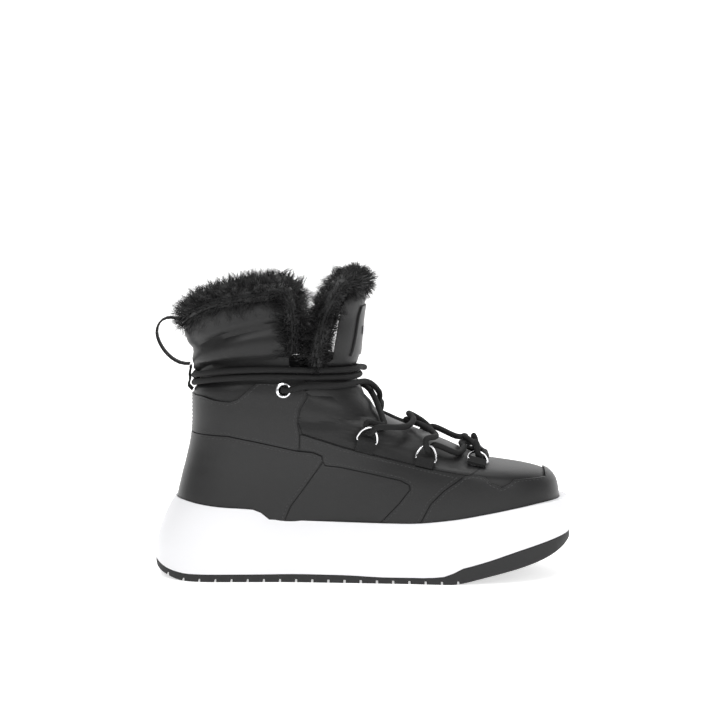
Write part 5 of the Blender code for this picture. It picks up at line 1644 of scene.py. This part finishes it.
def make_camera(sizes):
    """A level view along +Y, tilted down by the camera's elevation about its target."""
    lens = bpy.data.cameras.new("camera")
    lens.sensor_width = SENSOR_WIDTH
    lens.lens = SENSOR_WIDTH * sizes.camera_reach / sizes.view_width
    holder = bpy.data.objects.new("camera", lens)
    tilt = sizes.camera_height
    back = Vector((0.0, -math.cos(tilt), math.sin(tilt)))
    holder.location = Vector(CAMERA_TARGET) + back * sizes.camera_reach
    holder.rotation_euler = (math.pi / 2 - tilt, 0.0, 0.0)
    bpy.context.scene.collection.objects.link(holder)
    bpy.context.scene.camera = holder


# Operators


class BootSizes(bpy.types.PropertyGroup):
    camera_height: bpy.props.FloatProperty(
        name="Camera elevation",
        description="How far the camera looks down",
        default=math.radians(6.0),
        subtype="ANGLE",
    )
    camera_reach: bpy.props.FloatProperty(
        name="Camera distance",
        description="From the camera to the boot",
        default=1.8,
        unit="LENGTH",
    )
    view_width: bpy.props.FloatProperty(
        name="View width",
        description="Width of the view at the boot",
        default=0.4846,
        unit="LENGTH",
    )


class BOOT_OT_sole(bpy.types.Operator):
    """Midsole, outsole and insole: plans between two rounded ends, lofted through curved height lines."""

    bl_idname = "boot.sole"
    bl_label = "Sole"

    def execute(self, context):
        make_outsole()
        make_midsole()
        make_insole()
        return {"FINISHED"}


class BOOT_OT_upper(bpy.types.Operator):
    """Padded upper, tongue and overlays: offsets of one surface, cut by outlines seen from the side."""

    bl_idname = "boot.upper"
    bl_label = "Upper"

    def execute(self, context):
        make_upper()
        make_tongue()
        make_overlays()
        return {"FINISHED"}


class BOOT_OT_fittings(bpy.types.Operator):
    """Eyelets, rings, straps, lace, keeper and patch: profiles along paths over the surface."""

    bl_idname = "boot.fittings"
    bl_label = "Fittings"

    def execute(self, context):
        for side, label in ((LATERAL, "lateral"), (MEDIAL, "medial")):
            make_eyelet(side, label)
            for number in range(len(RINGS)):
                make_ring(number, side, label)
                make_strap(number, side, label)
        make_lace()
        make_keeper()
        make_patch()
        return {"FINISHED"}


class BOOT_OT_fur(bpy.types.Operator):
    """Fur rolls with strands in clumps, and the pull loop that parts them."""

    bl_idname = "boot.fur"
    bl_label = "Fur"

    def execute(self, context):
        make_collar_fur()
        make_tongue_fur()
        make_pull_loop()
        return {"FINISHED"}


class BOOT_OT_stitches(bpy.types.Operator):
    """Rows of stitches along the overlays' edges."""

    bl_idname = "boot.stitches"
    bl_label = "Stitches"

    def execute(self, context):
        make_stitches()
        return {"FINISHED"}


class BOOT_OT_stage(bpy.types.Operator):
    """Pale floor that curves up into a backdrop, soft lamps, and a camera at the photograph's angle."""

    bl_idname = "boot.stage"
    bl_label = "Stage"

    def execute(self, context):
        make_floor()
        make_world()
        for name, place, size, power in LAMPS:
            make_lamp(name, place, size, power)
        make_camera(context.scene.boot_sizes)
        context.scene.view_settings.view_transform = "Standard"
        return {"FINISHED"}


class BOOT_PT_panel(bpy.types.Panel):
    bl_label = "Boot"
    bl_idname = "BOOT_PT_panel"
    bl_space_type = "VIEW_3D"
    bl_region_type = "UI"
    bl_category = "Boot"

    def draw(self, context):
        for name in ("sole", "upper", "fittings", "fur", "stitches", "stage"):
            self.layout.operator(f"boot.{name}")
        for name in ("camera_height", "camera_reach", "view_width"):
            self.layout.prop(context.scene.boot_sizes, name)


CLASSES = (
    BootSizes,
    BOOT_OT_sole,
    BOOT_OT_upper,
    BOOT_OT_fittings,
    BOOT_OT_fur,
    BOOT_OT_stitches,
    BOOT_OT_stage,
    BOOT_PT_panel,
)


def register():
    for made in CLASSES:
        bpy.utils.register_class(made)
    bpy.types.Scene.boot_sizes = bpy.props.PointerProperty(type=BootSizes)


def unregister():
    del bpy.types.Scene.boot_sizes
    for made in reversed(CLASSES):
        bpy.utils.unregister_class(made)


def settle():
    """Move each shown piece into the frame, let it ride on the one body, and stand in for its solid."""
    low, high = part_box("lace_keeper")
    shift = Matrix.Translation((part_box("midsole")[0].x, (low.y + high.y) / 2, 0.0))
    for piece in [made for made in bpy.data.objects if made.name.endswith(SHOWN)]:
        piece.data.transform(shift)
        piece.data.shade_smooth()
        piece.data.set_sharp_from_angle(angle=SHARP_ANGLE)
        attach(piece, "root")
        node = piece.name.removesuffix(SHOWN)
        if node in frame["nodes"]:
            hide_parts(node)


def main():
    register()
    bpy.ops.boot.sole()
    bpy.ops.boot.upper()
    bpy.ops.boot.fittings()
    bpy.ops.boot.fur()
    bpy.ops.boot.stitches()
    bpy.ops.boot.stage()
    settle()


if __name__ == "__main__":
    main()
